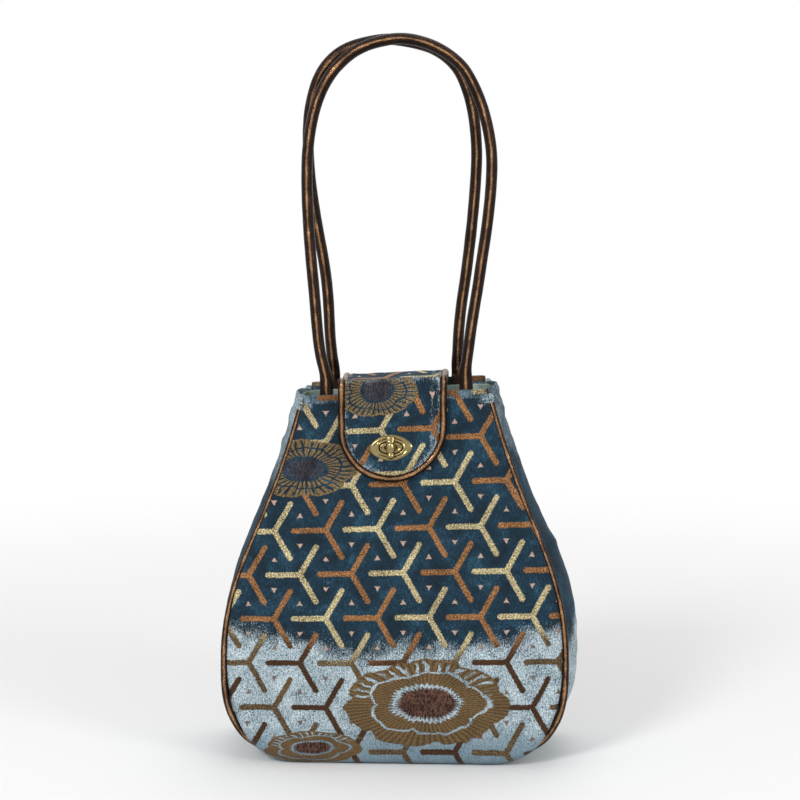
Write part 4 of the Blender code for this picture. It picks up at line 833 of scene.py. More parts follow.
def foil_leather(name, radius, crests=1):
    """Calf leather with bronze foil, rolled over a cord, with a highlight painted along the crest of the roll.

    The map runs round the roll, from the crest, in millimetres, and crests says how many there are.
    """
    m, t = new_material(name)
    place = cloth_millimetres(t)
    # grain cells 0.9 mm wide
    grain = node(t, "TexVoronoi DISTANCE_TO_EDGE", {"Vector": place, "Scale": 1.1, "Randomness": 0.9})
    crease = node(t, "MapRange", (grain, 0.0, 0.12))
    # rubbed patches 8 mm down to 1 mm
    rub = node(t, "Mapping", {"Vector": place, "Scale": (1.0, 0.3, 1.0)})
    rub = node(t, "TexNoise", {"Vector": rub, "Scale": 0.2, "Detail": 5.0, "Roughness": 0.6})
    # a painted highlight along each crest of the roll, with painted shade on the flanks between
    crest = node(t, "Math MULTIPLY", (node(t, "SeparateXYZ", place), crests / radius))
    crest = node(t, "MapRange", (node(t, "Math COSINE", crest), 0.5, 1.0))
    crest = node(t, "Math POWER", (crest, 3.0))
    rub_and_highlight = add_up(t, ((rub, 0.9), (crest, 0.46)), -0.2)
    rub_and_highlight = node(t, "ValToRGB", rub_and_highlight)
    ramp = rub_and_highlight.color_ramp.elements
    ramp[0].position, ramp[0].color = 0.2, linear(LEATHER_DARK)
    ramp[1].position, ramp[1].color = 0.8, linear(LEATHER_HIGHLIGHT)
    ramp.new(0.5).color = linear(LEATHER_MID)
    colour = node(t, "Mix RGBA", (crease, LEATHER_DARK, rub_and_highlight))
    rough = node(t, "MapRange", (rub, 0.3, 0.7, 0.34, 0.2))
    look = {"Base Color": colour, "Roughness": rough, "Metallic": 0.8}
    surface(t, look, node(t, "Math MULTIPLY_ADD", (rub, 0.8, crease)), 0.5, 0.00025)
    return m


def flat_leather(name):
    """The same foiled leather where a piece has no map of its own: it is placed by the object's metres."""
    m, t = new_material(name)
    place = node(t, "TexCoord").outputs["Object"]
    grain = node(t, "TexVoronoi DISTANCE_TO_EDGE", {"Vector": place, "Scale": 1100.0, "Randomness": 0.9})
    crease = node(t, "MapRange", (grain, 0.0, 0.12))
    rub = node(t, "TexNoise", {"Vector": place, "Scale": 160.0, "Detail": 6.0, "Roughness": 0.65})
    colour = node(t, "Mix RGBA", (crease, LEATHER_DARK, node(t, "Mix RGBA", (rub, LEATHER_DARK, LEATHER_MID))))
    rough = node(t, "MapRange", (rub, 0.3, 0.7, 0.45, 0.3))
    surface(t, {"Base Color": colour, "Roughness": rough, "Metallic": 0.55}, crease, 0.3, 0.0002)
    return m


def cast_brass(name):
    """Cast brass, plated pale and polished by hand, with soft hairlines and a duller film in places."""
    m, t = new_material(name)
    place = node(t, "TexCoord").outputs["Object"]
    film = node(t, "TexNoise", {"Vector": place, "Scale": 140.0, "Detail": 4.0})
    lines = node(t, "Mapping", {"Vector": place, "Scale": (1.0, 1.0, 9.0)})
    lines = node(t, "TexNoise", {"Vector": lines, "Scale": 900.0, "Detail": 2.0})
    colour = node(t, "Mix RGBA", (film, BRASS_DARK, BRASS_LIGHT))
    rough = node(t, "Math MULTIPLY_ADD", (film, 0.16, 0.1))
    surface(t, {"Base Color": colour, "Roughness": rough, "Metallic": 1.0}, lines, 0.12, 0.0001)
    return m


def satin(name):
    """Woven satin lining: floats of thread 0.5 mm apart give a soft shine along the warp."""
    m, t = new_material(name)
    place = cloth_millimetres(t)
    warp = node(t, "Mapping", {"Vector": place, "Scale": (2.0, 0.25, 1.0)})
    warp = node(t, "TexNoise", {"Vector": warp, "Scale": 1.0, "Detail": 3.0})
    crease = node(t, "TexNoise", {"Vector": place, "Scale": 0.06, "Detail": 4.0, "Distortion": 1.2})
    # painted light and shade: the tone is lighter on the ridges of the creases and darker in their hollows, and
    # lighter along the warp's floats as a painted sheen
    tone = node(t, "MapRange", (add_up(t, ((warp, 0.4), (crease, 0.7))), 0.35, 0.75))
    look = {"Base Color": node(t, "Mix RGBA", (tone, SATIN_DARK, SATIN_LIGHT)), "Roughness": 0.42, "Sheen Weight": 0.2}
    surface(t, look, node(t, "Math MULTIPLY_ADD", (crease, 6.0, warp)), 0.3, 0.0004)
    return m


def pressed_card(name):
    """Pressed fibre board, matt and flecked, under the lining."""
    m, t = new_material(name)
    fleck = node(t, "TexNoise", {"Vector": node(t, "TexCoord").outputs["Object"], "Scale": 700.0, "Detail": 5.0})
    colour = node(t, "Mix RGBA", (fleck, CARD_DARK, CARD_LIGHT))
    surface(t, {"Base Color": colour, "Roughness": 0.85}, fleck, 0.3, 0.0002)
    return m


# The pattern's places were read in the view from the front, so the cloth's own map is that view.
DISTANCE = 1.68
AZIMUTH, ELEVATION = math.radians(2.5), math.radians(7.5)
AIM = np.array([0.0026, 0.0, 0.2910])
ACROSS = np.array([math.cos(AZIMUTH), math.sin(AZIMUTH), 0.0])
AWAY = np.array([ACROSS[1] * math.cos(ELEVATION), -ACROSS[0] * math.cos(ELEVATION), math.sin(ELEVATION)])
UPWARD = np.cross(AWAY, ACROSS)
MAP_ORIGIN = (2.4, 292.8)  # what lies in the middle of the view, right of the bag's middle and above its base


def view_map(flat, lift=0.0):
    """A flat pattern point as it shows from the front, in millimetres of the pattern."""
    z = np.minimum(flat[:, 1], BAG_HEIGHT + 6.0)
    x = np.clip(flat[:, 0], -BELLY_HALF_WIDTH, BELLY_HALF_WIDTH)
    p = np.stack([x, -(half_depth(z) + bulge(x, z) + lift), z], axis=1) - AIM / MM
    near = 0.9821 / (1.0 - p @ AWAY * MM / DISTANCE)
    shown = np.stack([p @ ACROSS * near + MAP_ORIGIN[0], p @ UPWARD * near + MAP_ORIGIN[1]], axis=1)
    return shown + flat - np.stack([x, z], axis=1)


def panel_map(flat, side):
    """The cloth of the back is cut from another place, and is seen from the other side."""
    return view_map(flat) if side < 0 else view_map(flat) * (-1.0, 1.0) + BACK_SHIFT


def even_sheen_at(flat):
    """Where the painted sheen is an even blue-grey: towards the bottom seam."""
    return 1.0 - fade(flat[:, 1], 12.0, 40.0)


def silver_sheen_at(flat, seed=11.0):
    """Where the pile leans and a silver sheen is painted: the lower part of the bag, up to a line that rises at both
    sides.
    """
    p = np.stack([flat[:, 0], np.full(len(flat), seed), flat[:, 1]], axis=1)
    line = 88.0 + 15.0 * np.clip(np.abs(flat[:, 0]) / 120.0, 0.0, 1.2) ** 2 + 8.0 * wrinkle(p, 40.0, 3, seed)
    patches = 0.16 * wrinkle(p, 16.0, 3, seed + 3.0)
    return 1.05 * (1.0 - fade(flat[:, 1], line - 16.0, line + 26.0)) + patches * (flat[:, 1] < 150.0)


def blossom_at(flat, blooms):
    """Coordinates about the nearest blossom, 1 at the ends of its half sizes; the third grows away from it."""
    best = np.full((len(flat), 3), 9.0)
    for cx, cz, a, b in blooms:
        q = np.stack([(flat[:, 0] - cx) / a, (flat[:, 1] - cz) / b], axis=1)
        far = np.hypot(q[:, 0], q[:, 1])
        q = np.concatenate([q, 14.0 * np.clip(far - 1.03, 0.0, None)[:, None]], axis=1)
        best = np.where((far < np.hypot(best[:, 0], best[:, 1]))[:, None], q, best)
    return best


# ---- the two panels

BACK_SHIFT = (13.0, -9.0)
BACK_BLOOMS = ((-22.0, 86.0, 62.0, 33.0), (78.0, 30.0, 44.0, 20.0), (62.0, 204.0, 40.0, 24.0))

HEM_RADIUS = 1.0  # turn of the cloth over the rim
HEM_DEPTH = 12.0  # how far it is turned in
RIM_DROP = 0.9  # so that the turned cloth ends at the part's own rim
PANEL_COLS, PANEL_ROWS = 168, 176
VELVET_THICK = 0.9
FLOOR_GAP = 0.15  # the lowest the cloth comes
FRONT_BLOOMS = ((24.0, 50.5, 67.0, 35.0), (-67.0, 15.5, 40.0, 13.5), (-74.0, 240.5, 42.0, 24.0))


def pattern_sides(rim):
    """The panel's flat outline in four sides: left and right upwards, bottom and top to the right."""
    edge = SEAM + SEAM_IN * roll_span(SEAM_IN[:, 1])[0][:, None]
    below = np.nonzero(edge[:, 1] < rim)[0]
    first, last = below[0], below[-1]

    def at_rim(inside_point, outside_point):
        share = (rim - inside_point[1]) / (outside_point[1] - inside_point[1])
        return inside_point + (outside_point - inside_point) * share

    low = np.nonzero(SEAM_IN[:, 1] > 0.72)[0]
    a, b = low[0], low[-1]
    left = np.concatenate([edge[first : a + 1][::-1], [at_rim(edge[first], edge[first - 1])]])
    right = np.concatenate([edge[b : last + 1], [at_rim(edge[last], edge[last + 1])]])
    return left, right, edge[a : b + 1], np.stack([left[-1], right[-1]])


def pattern_point(u, v, sides):
    """Blends the four sides, so that the grid follows the outline all round."""
    left, right, bottom, top = (along_line(s, 400)[0] for s in sides)
    lv, rv, bu, tu = pick(left, v), pick(right, v), pick(bottom, u), pick(top, u)
    u, v = u[:, None], v[:, None]
    corners = (1 - u) * (1 - v) * bottom[0] + u * (1 - v) * bottom[-1] + (1 - u) * v * top[0] + u * v * top[-1]
    return (1 - v) * bu + v * tu + (1 - u) * lv + u * rv - corners


def slack(flat, side, seed):
    """How far the loose velvet stands off the panel, in millimetres."""
    p = np.stack([flat[:, 0], np.full(len(flat), 40.0 * side), flat[:, 1]], axis=1)
    inner = fade(nearest_seam(flat)[2], 5.0, 20.0)
    broad = 1.5 * wrinkle(p * (1.0, 1.0, 0.8), 62.0, 2, seed)
    folds = wrinkle(p * (0.8, 1.0, 1.5), 21.0, 3, seed + 4.0)
    folds = 0.75 * folds + 0.7 * np.clip(0.25 - np.abs(folds), 0.0, 1.0)
    edge = nearest_seam(flat)[2]
    gather = 0.55 * np.exp(-(((edge - 11.0) / 5.0) ** 2)) * wrinkle(p, 7.0, 2, seed + 8.0)
    under = fade(np.maximum(np.abs(flat[:, 0] - FLAP_X) - 47.0, FLAP_END_Z - 4.0 - flat[:, 1]), 0.0, 9.0)
    if side > 0:
        under = np.maximum(under, fade(BAG_HEIGHT - 30.0 - flat[:, 1], 0.0, 8.0))
    near_rim = 0.45 + 0.55 * fade(BAG_HEIGHT - flat[:, 1], 4.0, 26.0)
    return (inner * (broad + folds) * near_rim + gather) * (under if side < 0 else 1.0)


def panel_velvet(name, side, rim, material_, node_name, seed):
    rim = rim - RIM_DROP
    sides = pattern_sides(rim)
    turn = np.linspace(0.0, math.pi, 7)[1:] * HEM_RADIUS
    ladder = np.concatenate(
        [np.linspace(0.0, 1.0, PANEL_ROWS + 1), 1.0 + turn, 1.0 + turn[-1] + np.linspace(0.0, HEM_DEPTH, 5)[1:]]
    )
    rows = len(ladder) - 1

    def parts(uv):
        level = np.interp(uv[:, 1] * rows, np.arange(rows + 1), ladder)
        past = np.clip(level - 1.0, 0.0, None)
        u = uv[:, 0] if side < 0 else 1.0 - uv[:, 0]
        flat = pattern_point(u, np.minimum(level, 1.0), sides)
        return flat, past

    def place(uv):
        flat, past = parts(uv)
        angle = np.minimum(past / HEM_RADIUS, math.pi)
        down = np.clip(past - math.pi * HEM_RADIUS, 0.0, None)
        outer = PANEL_THICK / 2 - HEM_RADIUS * (1.0 - np.cos(angle))
        groove = -0.45 * np.exp(-(((rim - 7.5 - flat[:, 1]) / 0.9) ** 2)) * (past <= 0)
        loose = slack(flat, side, seed)
        q = flat - np.stack([np.zeros(len(flat)), down], axis=1)
        offset = outer + loose * np.where(past > 0, 0.8, 1.0) + groove
        p = panel_surface(q, side, offset)
        p[:, 2] += HEM_RADIUS * np.sin(angle)
        p = tilt(p)
        p[:, 2] = np.maximum(p[:, 2], FLOOR_GAP)
        return flatten(p, outer - PANEL_THICK / 2) if side < 0 else p

    def chart(uv):
        flat, past = parts(uv)
        return panel_map(flat, side) + np.stack([np.zeros(len(flat)), past], axis=1)

    def attributes(uv):
        flat, _ = parts(uv)
        shown = view_map(flat)
        # painted sheen: the silver of the leaning pile, a band along the turned rim and the upper corners by the mouth
        nap_sheen = silver_sheen_at(shown, 11.0 + 2.0 * side)
        band = fade(flat[:, 1], rim - 7.5, rim - 5.5) * 0.5
        corner = fade(np.abs(flat[:, 0]), MOUTH_HALF_WIDTH - 14.0, MOUTH_HALF_WIDTH)
        corner = corner * fade(flat[:, 1], rim - 16.0, rim - 6.0)
        return {"nap_sheen": np.maximum(nap_sheen, np.maximum(band, corner * 0.8)),
                "blossom": blossom_at(panel_map(flat, side), FRONT_BLOOMS if side < 0 else BACK_BLOOMS),
                "pressed": np.maximum(even_sheen_at(shown), fade(flat[:, 1], rim - 8.0, rim - 5.0))}

    return skin(name, PANEL_COLS, rows, place, chart, [material_], [node_name],
                attributes=attributes, wall=VELVET_THICK)


# ---- the side and bottom strip

STRIP_COLS, STRIP_ROWS = 30, 400


def strip_velvet(material_):
    rim = BAG_HEIGHT + 1.0 - RIM_DROP
    below = np.nonzero(SEAM[:, 1] <= rim)[0]
    line = SEAM[below[0] : below[-1] + 1]
    inward = SEAM_IN[below[0] : below[-1] + 1]
    turn = np.linspace(0.0, math.pi, 6)[1:] * HEM_RADIUS
    extra = np.concatenate([turn, turn[-1] + np.array([3.0, 7.0])])
    ladder = np.concatenate([-extra[::-1], np.linspace(0.0, 1.0, STRIP_ROWS + 1), 1.0 + extra])
    rows = len(ladder) - 1

    def parts(uv):
        level = np.interp(uv[:, 1] * rows, np.arange(rows + 1), ladder)
        past = np.maximum(-level, level - 1.0).clip(0.0, None)
        return np.clip(level, 0.0, 1.0), past, (0.5 - uv[:, 0]) * 2.0

    def place(uv):
        share, past, t = parts(uv)
        p, n = pick(line, share), pick(inward, share)
        n /= np.linalg.norm(n, axis=1)[:, None]
        up = np.where(share < 0.5, 1.0, -1.0)[:, None] * np.stack([-n[:, 1], n[:, 0]], axis=1)
        angle = np.minimum(past / HEM_RADIUS, math.pi)
        down = np.clip(past - math.pi * HEM_RADIUS, 0.0, None)
        depth = half_depth(p[:, 1]) - PIPING_RADIUS - SEAT - PLAY
        under = smooth(n[:, 1] * 1.6 - 0.5)
        flat = 1.0 - np.clip((np.abs(t) - 0.7) / 0.3, 0.0, 1.0) ** 2
        rise = smooth((p[:, 1] - BELLY_Z) / (BAG_HEIGHT - BELLY_Z)) * 2.0
        puff = (GUSSET_BULGE + rise) * (1 - t * t) * (1 - under) + (SEAM_Z - GUSSET_THICK / 2) * flat * under
        cover = GUSSET_THICK / 2 * (1.0 - np.abs(t) ** 10)
        spot = np.stack([p[:, 0], depth * t, p[:, 1]], axis=1)
        crumple = 0.5 + 1.5 * fade(p[:, 1], 215.0, 290.0)
        loose = crumple * wrinkle(spot * (1.0, 0.35, 1.3), 17.0, 3, 21.0)
        loose = loose + 0.8 * wrinkle(spot * (1.0, 0.6, 1.0), 48.0, 2, 25.0)
        spread = 0.6 + 6.0 * (p[:, 0] > 0)
        loose += spread * fade(p[:, 1], 22.0, 60.0) * (1.0 - fade(p[:, 1], 120.0, 215.0)) * (1.0 - t * t)
        loose += 2.6 * np.exp(-(((p[:, 1] - 172.0) / 6.5) ** 2)) * (p[:, 0] > 0) * np.exp(-(((t + 0.45) / 0.4) ** 2))
        puff = puff + cover + (loose + VELVET_THICK * (1.0 - t * t)) * (1.0 - under) * (1.0 - t**4)
        puff -= HEM_RADIUS * (1.0 - np.cos(angle))
        xz = p - n * puff[:, None] + up * (HEM_RADIUS * np.sin(angle) - down)[:, None]
        y = (depth + 1.5 + 1.8 * (1.0 - fade(p[:, 1], 40.0, 84.0))) * t
        p = tilt(np.stack([xz[:, 0], y, xz[:, 1]], axis=1))
        p[:, 2] = np.maximum(p[:, 2], FLOOR_GAP)
        return p

    length = along_line(line, 10)[1]

    def chart(uv):
        share, past, t = parts(uv)
        return np.stack([t * 42.0, share * length + np.where(share > 0.5, past, -past)], axis=1)

    def attributes(uv):
        share, _, t = parts(uv)
        p = pick(line, share)
        # painted sheen towards the top of the strip, stronger on the left
        top = fade(p[:, 1], 200.0, 270.0) * np.where(p[:, 0] < 0, 0.7, 0.45)
        spot = np.stack([p[:, 0] + 60.0 * t, p[:, 1]], axis=1)
        return {"nap_sheen": np.maximum(silver_sheen_at(spot), top), "pressed": np.maximum(even_sheen_at(spot), 0.6 * top)}

    return skin("side_strip_velvet", STRIP_COLS, rows, place, chart, [material_], ["gusset"],
                flip=True, attributes=attributes, wall=VELVET_THICK), length


# ---- the leather piping in the seams, and the gathered corners above its ends

PIPING_STOP = 8.0  # below the rim


def seam_line(side, low, high, half=None):
    keep = (SEAM[:, 1] >= low) & (SEAM[:, 1] <= high)
    if half:
        keep &= SEAM[:, 0] * half > 0
    p, inward = SEAM[keep], SEAM_IN[keep]
    # the bead stands proud of the panels round the lower half, where they curve away from it
    proud = 1.1 * (1.0 - fade(p[:, 1], 90.0, 190.0)) + 1.9 * (1.0 - fade(p[:, 1], 40.0, 84.0))
    out = proud * fade(p[:, 1], 6.0, 26.0)
    y = side * (half_depth(p[:, 1]) + 1.4 * proud)
    return tilt(np.stack([p[:, 0] - inward[:, 0] * out, y, p[:, 1] - inward[:, 1] * out], axis=1))


# ---- the lining

LINING_COLS = 180


def lining_levels():
    top = BAG_HEIGHT - 2.0
    floor_z = GUSSET_THICK + BOARD_THICK + 3 * SEAT + 0.2
    return floor_z, top, list(np.linspace(floor_z + 7.0, top - 6.0, 84)) + [top - 4.0, top - 2.0, top - 0.8, top]


def lining_ring(z, inset, top):
    """One level of the lining, clear of the panels, the strip, the piping and the handle tabs."""
    w, depth = float(half_width(z)), float(half_depth(z))
    run = max(w - 10.0, 20.0)
    low = float(smooth((z - 12.0) / 30.0))
    rim_share = float(fade(z, top - 32.0, top - 25.0))
    f = np.linspace(-1.0, 1.0, 61)
    deep = PANEL_THICK / 2 + SEAT + inset + 0.9 * (1.0 - low)
    deep = deep + rim_share * (TAB_THICK + SEAT + PLAY) * fade(np.abs(f), 0.4, 0.62)
    sag = 1.4 * wrinkle(np.stack([f * run, np.zeros(61), np.full(61, z)], axis=1) * (1.0, 1.0, 0.4), 22.0, 2, 31.0)
    deep = deep + np.clip(sag, -0.2, 3.0) * fade(top - z, 2.0, 20.0)
    rows = []
    for side in (-1, 1):
        q = panel_surface(np.stack([f * run, np.full(61, z)], axis=1), side, -deep)
        q[:, 0], q[:, 2] = f * run, z
        rows.append(q if side < 0 else q[::-1])
    bow = GUSSET_BULGE + 2.0 * float(smooth((z - BELLY_Z) / (BAG_HEIGHT - BELLY_Z)))
    curve = (SEAM + SEAM_IN * (GUSSET_THICK / 2 + SEAT + inset))[len(SEAM) // 2 :]
    keep = np.concatenate([[True], np.diff(curve[:, 1]) > 1e-6])
    wall = float(np.interp(z, curve[keep, 1], curve[keep, 0]))
    t = np.linspace(-0.72, 0.72, 15)
    x = wall + low * bow * (1 - t * t)
    right = np.stack([x, depth * t, np.full(15, z)], axis=1)
    ring = np.concatenate([rows[0], right, rows[1], right * (-1.0, -1.0, 1.0), rows[0][:1]])
    return along_line(ring, LINING_COLS)[0]


def satin_lining(material_):
    floor_z, top, levels = lining_levels()
    rings = [lining_ring(z, LINING_EASE, top) for z in levels]
    foot = rings[0].copy()
    foot[:, 0] *= (BASE_HALF_WIDTH + 1.0) / np.abs(foot[:, 0]).max()
    foot[:, 1] *= (BASE_HALF_DEPTH - PIPING_RADIUS - SEAT - 1.4) / np.abs(foot[:, 1]).max()
    foot[:, 2] = floor_z
    inner = [foot * (k, k, 1.0) for k in (0.0, 0.25, 0.5, 0.75)]
    rows = np.array(inner + [foot] + rings)
    rows = tilt(rows.reshape(-1, 3)).reshape(rows.shape)
    count = len(rows) - 1

    def index(uv):
        return np.round(uv[:, 1] * count).astype(int), np.round(uv[:, 0] * LINING_COLS).astype(int)

    def place(uv):
        return rows[index(uv)]

    def chart(uv):
        r, c = index(uv)
        return np.stack([uv[:, 0] * 620.0, np.where(r > 4, rows[r, c, 2], (r - 4) * 12.0)], axis=1)

    return skin("satin_lining", LINING_COLS, count, place, chart, [material_], ["lining"],
                merge=True, wall=0.5)


# ---- the flap

FLAP_OF_Z = FLAP_V[3] + BAG_HEIGHT + FLAP_LIFT - FLAP_BEND  # v = FLAP_OF_Z - z on the front
FLAP_COLS, FLAP_ROWS = 52, 104
FLAP_BLOOMS = ((-16.0, 296.0, 33.0, 16.5),)
FLAP_SHIFT = (38.4, -7.4)  # the flap is cut from another place in the cloth
CREASE_X = 26.4
FOLD_RISE = 7.0


def flap_grid_points(uv, half):
    """Straight sides, then rows that narrow round the end."""
    end = FLAP_V[4] - (FLAP_PIPE_X - half)
    centre = end - half
    straight = 0.74
    w = np.clip((uv[:, 1] - straight) / (1 - straight), 0.0, 1.0) * math.pi / 2
    v = np.where(uv[:, 1] < straight, centre * uv[:, 1] / straight, centre + half * np.sin(w))
    width = half * np.cos(w)
    return np.stack([FLAP_X + (0.5 - uv[:, 0]) * 2.0 * width, v], axis=1)


def flap_raised(q):
    """The flap's middle with its fold over the front rim standing up, as padded cloth does."""
    p = flap_middle(q)
    p[:, 2] += FOLD_RISE * np.exp(-(((np.asarray(q)[:, 1] - FLAP_V[3] + 3.0) / 11.0) ** 2))
    return p


def flap_surface(q, offset):
    return flap_raised(q) + normals(flap_raised, q, -1.0) * np.reshape(offset, (-1, 1))


def flap_edge(q, half):
    """How far in from the flap's edge a point lies, and how far along the edge."""
    end = FLAP_V[4] - (FLAP_PIPE_X - half)
    below = np.clip(q[:, 1] - (end - half), 0.0, None)
    around = np.where(below > 0, end - half + half * np.arctan2(below, np.abs(q[:, 0] - FLAP_X) + 1e-9), q[:, 1])
    return half - np.hypot(q[:, 0] - FLAP_X, below), around


def flap_slack(q, half):
    """Puckers along the piping and one crease down the right side."""
    edge, around = flap_edge(q, half)
    p = np.stack([q[:, 0], np.zeros(len(q)), q[:, 1]], axis=1)
    right = 0.5 + 0.5 * fade(q[:, 0], -20.0, 30.0)
    puckers = np.exp(-((edge / 4.5) ** 2)) * np.sin(around * 2 * math.pi / 5.2 + 3.0 * wrinkle(p, 22.0, 2, 41.0))
    z = FLAP_OF_Z - q[:, 1]
    lock = np.maximum(np.abs(q[:, 0] - LOCK_X) / (EYE_HALF_LENGTH + 3.0), np.abs(z - LOCK_Z) / (EYE_HALF_HEIGHT + 3.0))
    free = fade(lock, 1.0, 1.5)
    crease_x = CREASE_X + 1.5 * np.sin(z / 9.0)
    crease = -1.25 * np.exp(-(((q[:, 0] - crease_x) / 1.3) ** 2)) * fade(z, 250.0, 262.0) * fade(294.0 - z, 0.0, 8.0)
    second = 0.9 * np.exp(-(((q[:, 0] - crease_x - 3.4) / 2.2) ** 2))
    crease += second * fade(z, 250.0, 262.0) * fade(294.0 - z, 0.0, 8.0)
    broad = 0.8 * wrinkle(p, 26.0, 3, 45.0)
    slack = free * (crease + broad * fade(edge, 2.0, 9.0)) + 0.5 * right * puckers * free
    return slack - 0.5 * np.exp(-edge.clip(0) / 1.2)


def flap_pieces(velvet_material, leather_material):
    half = FLAP_PIPE_X - FLAP_PIPING_RADIUS + 0.7
    v_lock = FLAP_OF_Z - LOCK_Z
    hole = slot_outline(0.6) * (1, -1) + (LOCK_X, v_lock)

    def drop(uv):
        return inside(flap_grid_points(uv, half), hole)

    def outer(uv):
        q = flap_grid_points(uv, half)
        return flap_surface(q, STACK / 2 + flap_slack(q, half))

    def chart(uv):
        q = flap_grid_points(uv, half)
        return view_map(np.stack([q[:, 0], FLAP_OF_Z - q[:, 1]], axis=1), FLAP_LIFT) + FLAP_SHIFT

    def attributes(uv):
        q = flap_grid_points(uv, half)
        flat = view_map(np.stack([q[:, 0], FLAP_OF_Z - q[:, 1]], axis=1), FLAP_LIFT)
        edge = flap_edge(q, half)[0]
        p = np.stack([q[:, 0], np.full(len(q), 7.0), q[:, 1]], axis=1)
        # painted sheen along the flap's piped edge, along its fold over the rim and on the ridge beside its crease
        top = 0.55 * np.exp(-((edge / 4.0) ** 2)) * (0.7 + 0.3 * fade(q[:, 0], -20.0, 30.0))
        top += 0.45 * np.exp(-(((q[:, 1] - FLAP_V[3] + 4.0) / 3.0) ** 2)) + 0.2 * wrinkle(p, 9.0, 3, 51.0)
        top = np.maximum(top, 0.4 * np.exp(-(((q[:, 0] - CREASE_X - 3.4) / 2.6) ** 2)))
        return {"nap_sheen": top, "blossom": blossom_at(flat, FLAP_BLOOMS), "pressed": 0.0 * top}

    cloth = skin("flap_velvet", FLAP_COLS, FLAP_ROWS, outer, chart, [velvet_material], ["flap"],
                 attributes=attributes, drop=drop, wall=VELVET_THICK)

    def under(uv):
        q = flap_grid_points(uv, half)
        return flap_surface(q, -STACK / 2)

    lining_ = skin("flap_underside", FLAP_COLS, FLAP_ROWS, under, chart, [leather_material], ["flap_lining"],
                   drop=drop, flip=True, wall=FLAP_LINING_THICK)
    centre = FLAP_V[4] - FLAP_PIPE_X
    angle = np.linspace(0.0, math.pi, 60)
    line = np.concatenate([
        np.stack([np.full(90, FLAP_X + FLAP_PIPE_X), np.linspace(0.0, centre, 90)], axis=1),
        np.stack([FLAP_X + FLAP_PIPE_X * np.cos(angle), centre + FLAP_PIPE_X * np.sin(angle)], axis=1)[1:-1],
        np.stack([np.full(90, FLAP_X - FLAP_PIPE_X), np.linspace(centre, 0.0, 90)], axis=1),
    ])
    return cloth, lining_, flap_raised(line)


# ---- the turn lock


def lock_point(ab, c):
    """Places a point by its distances right of, above and out from the lock's own origin."""
    return LOCK_O + ab[:, :1] * LOCK_R + ab[:, 1:2] * LOCK_U + np.reshape(c, (-1, 1)) * LOCK_N


def lock_ring(name, rings, material_, replaces, body, around=96):
    """A closed ring through a list of outlines, each at its own height off the panel."""
    loops = np.array([np.concatenate([shape, shape[:1]]) for shape, _ in rings + rings[:1]])
    levels = np.array([level for _, level in rings + rings[:1]])
    rows = len(loops) - 1

    def place(uv):
        r = np.round(uv[:, 1] * rows).astype(int)
        c = np.round(uv[:, 0] * around).astype(int)
        return lock_point(loops[r, c], levels[r])

    return skin(name, around, rows, place, lambda uv: uv * 30.0, [material_], replaces, body=body,
                merge=True)


def eye(grow):
    return oval(EYE_HALF_LENGTH + grow, EYE_HALF_HEIGHT + grow, 96, 1.75)


def slotted(grow):
    return oval(SLOT_HALF_LENGTH + grow, SLOT_HALF_HEIGHT + grow, 96, 2.4)


def round_(radius):
    return oval(radius, radius, 96, 2.0)


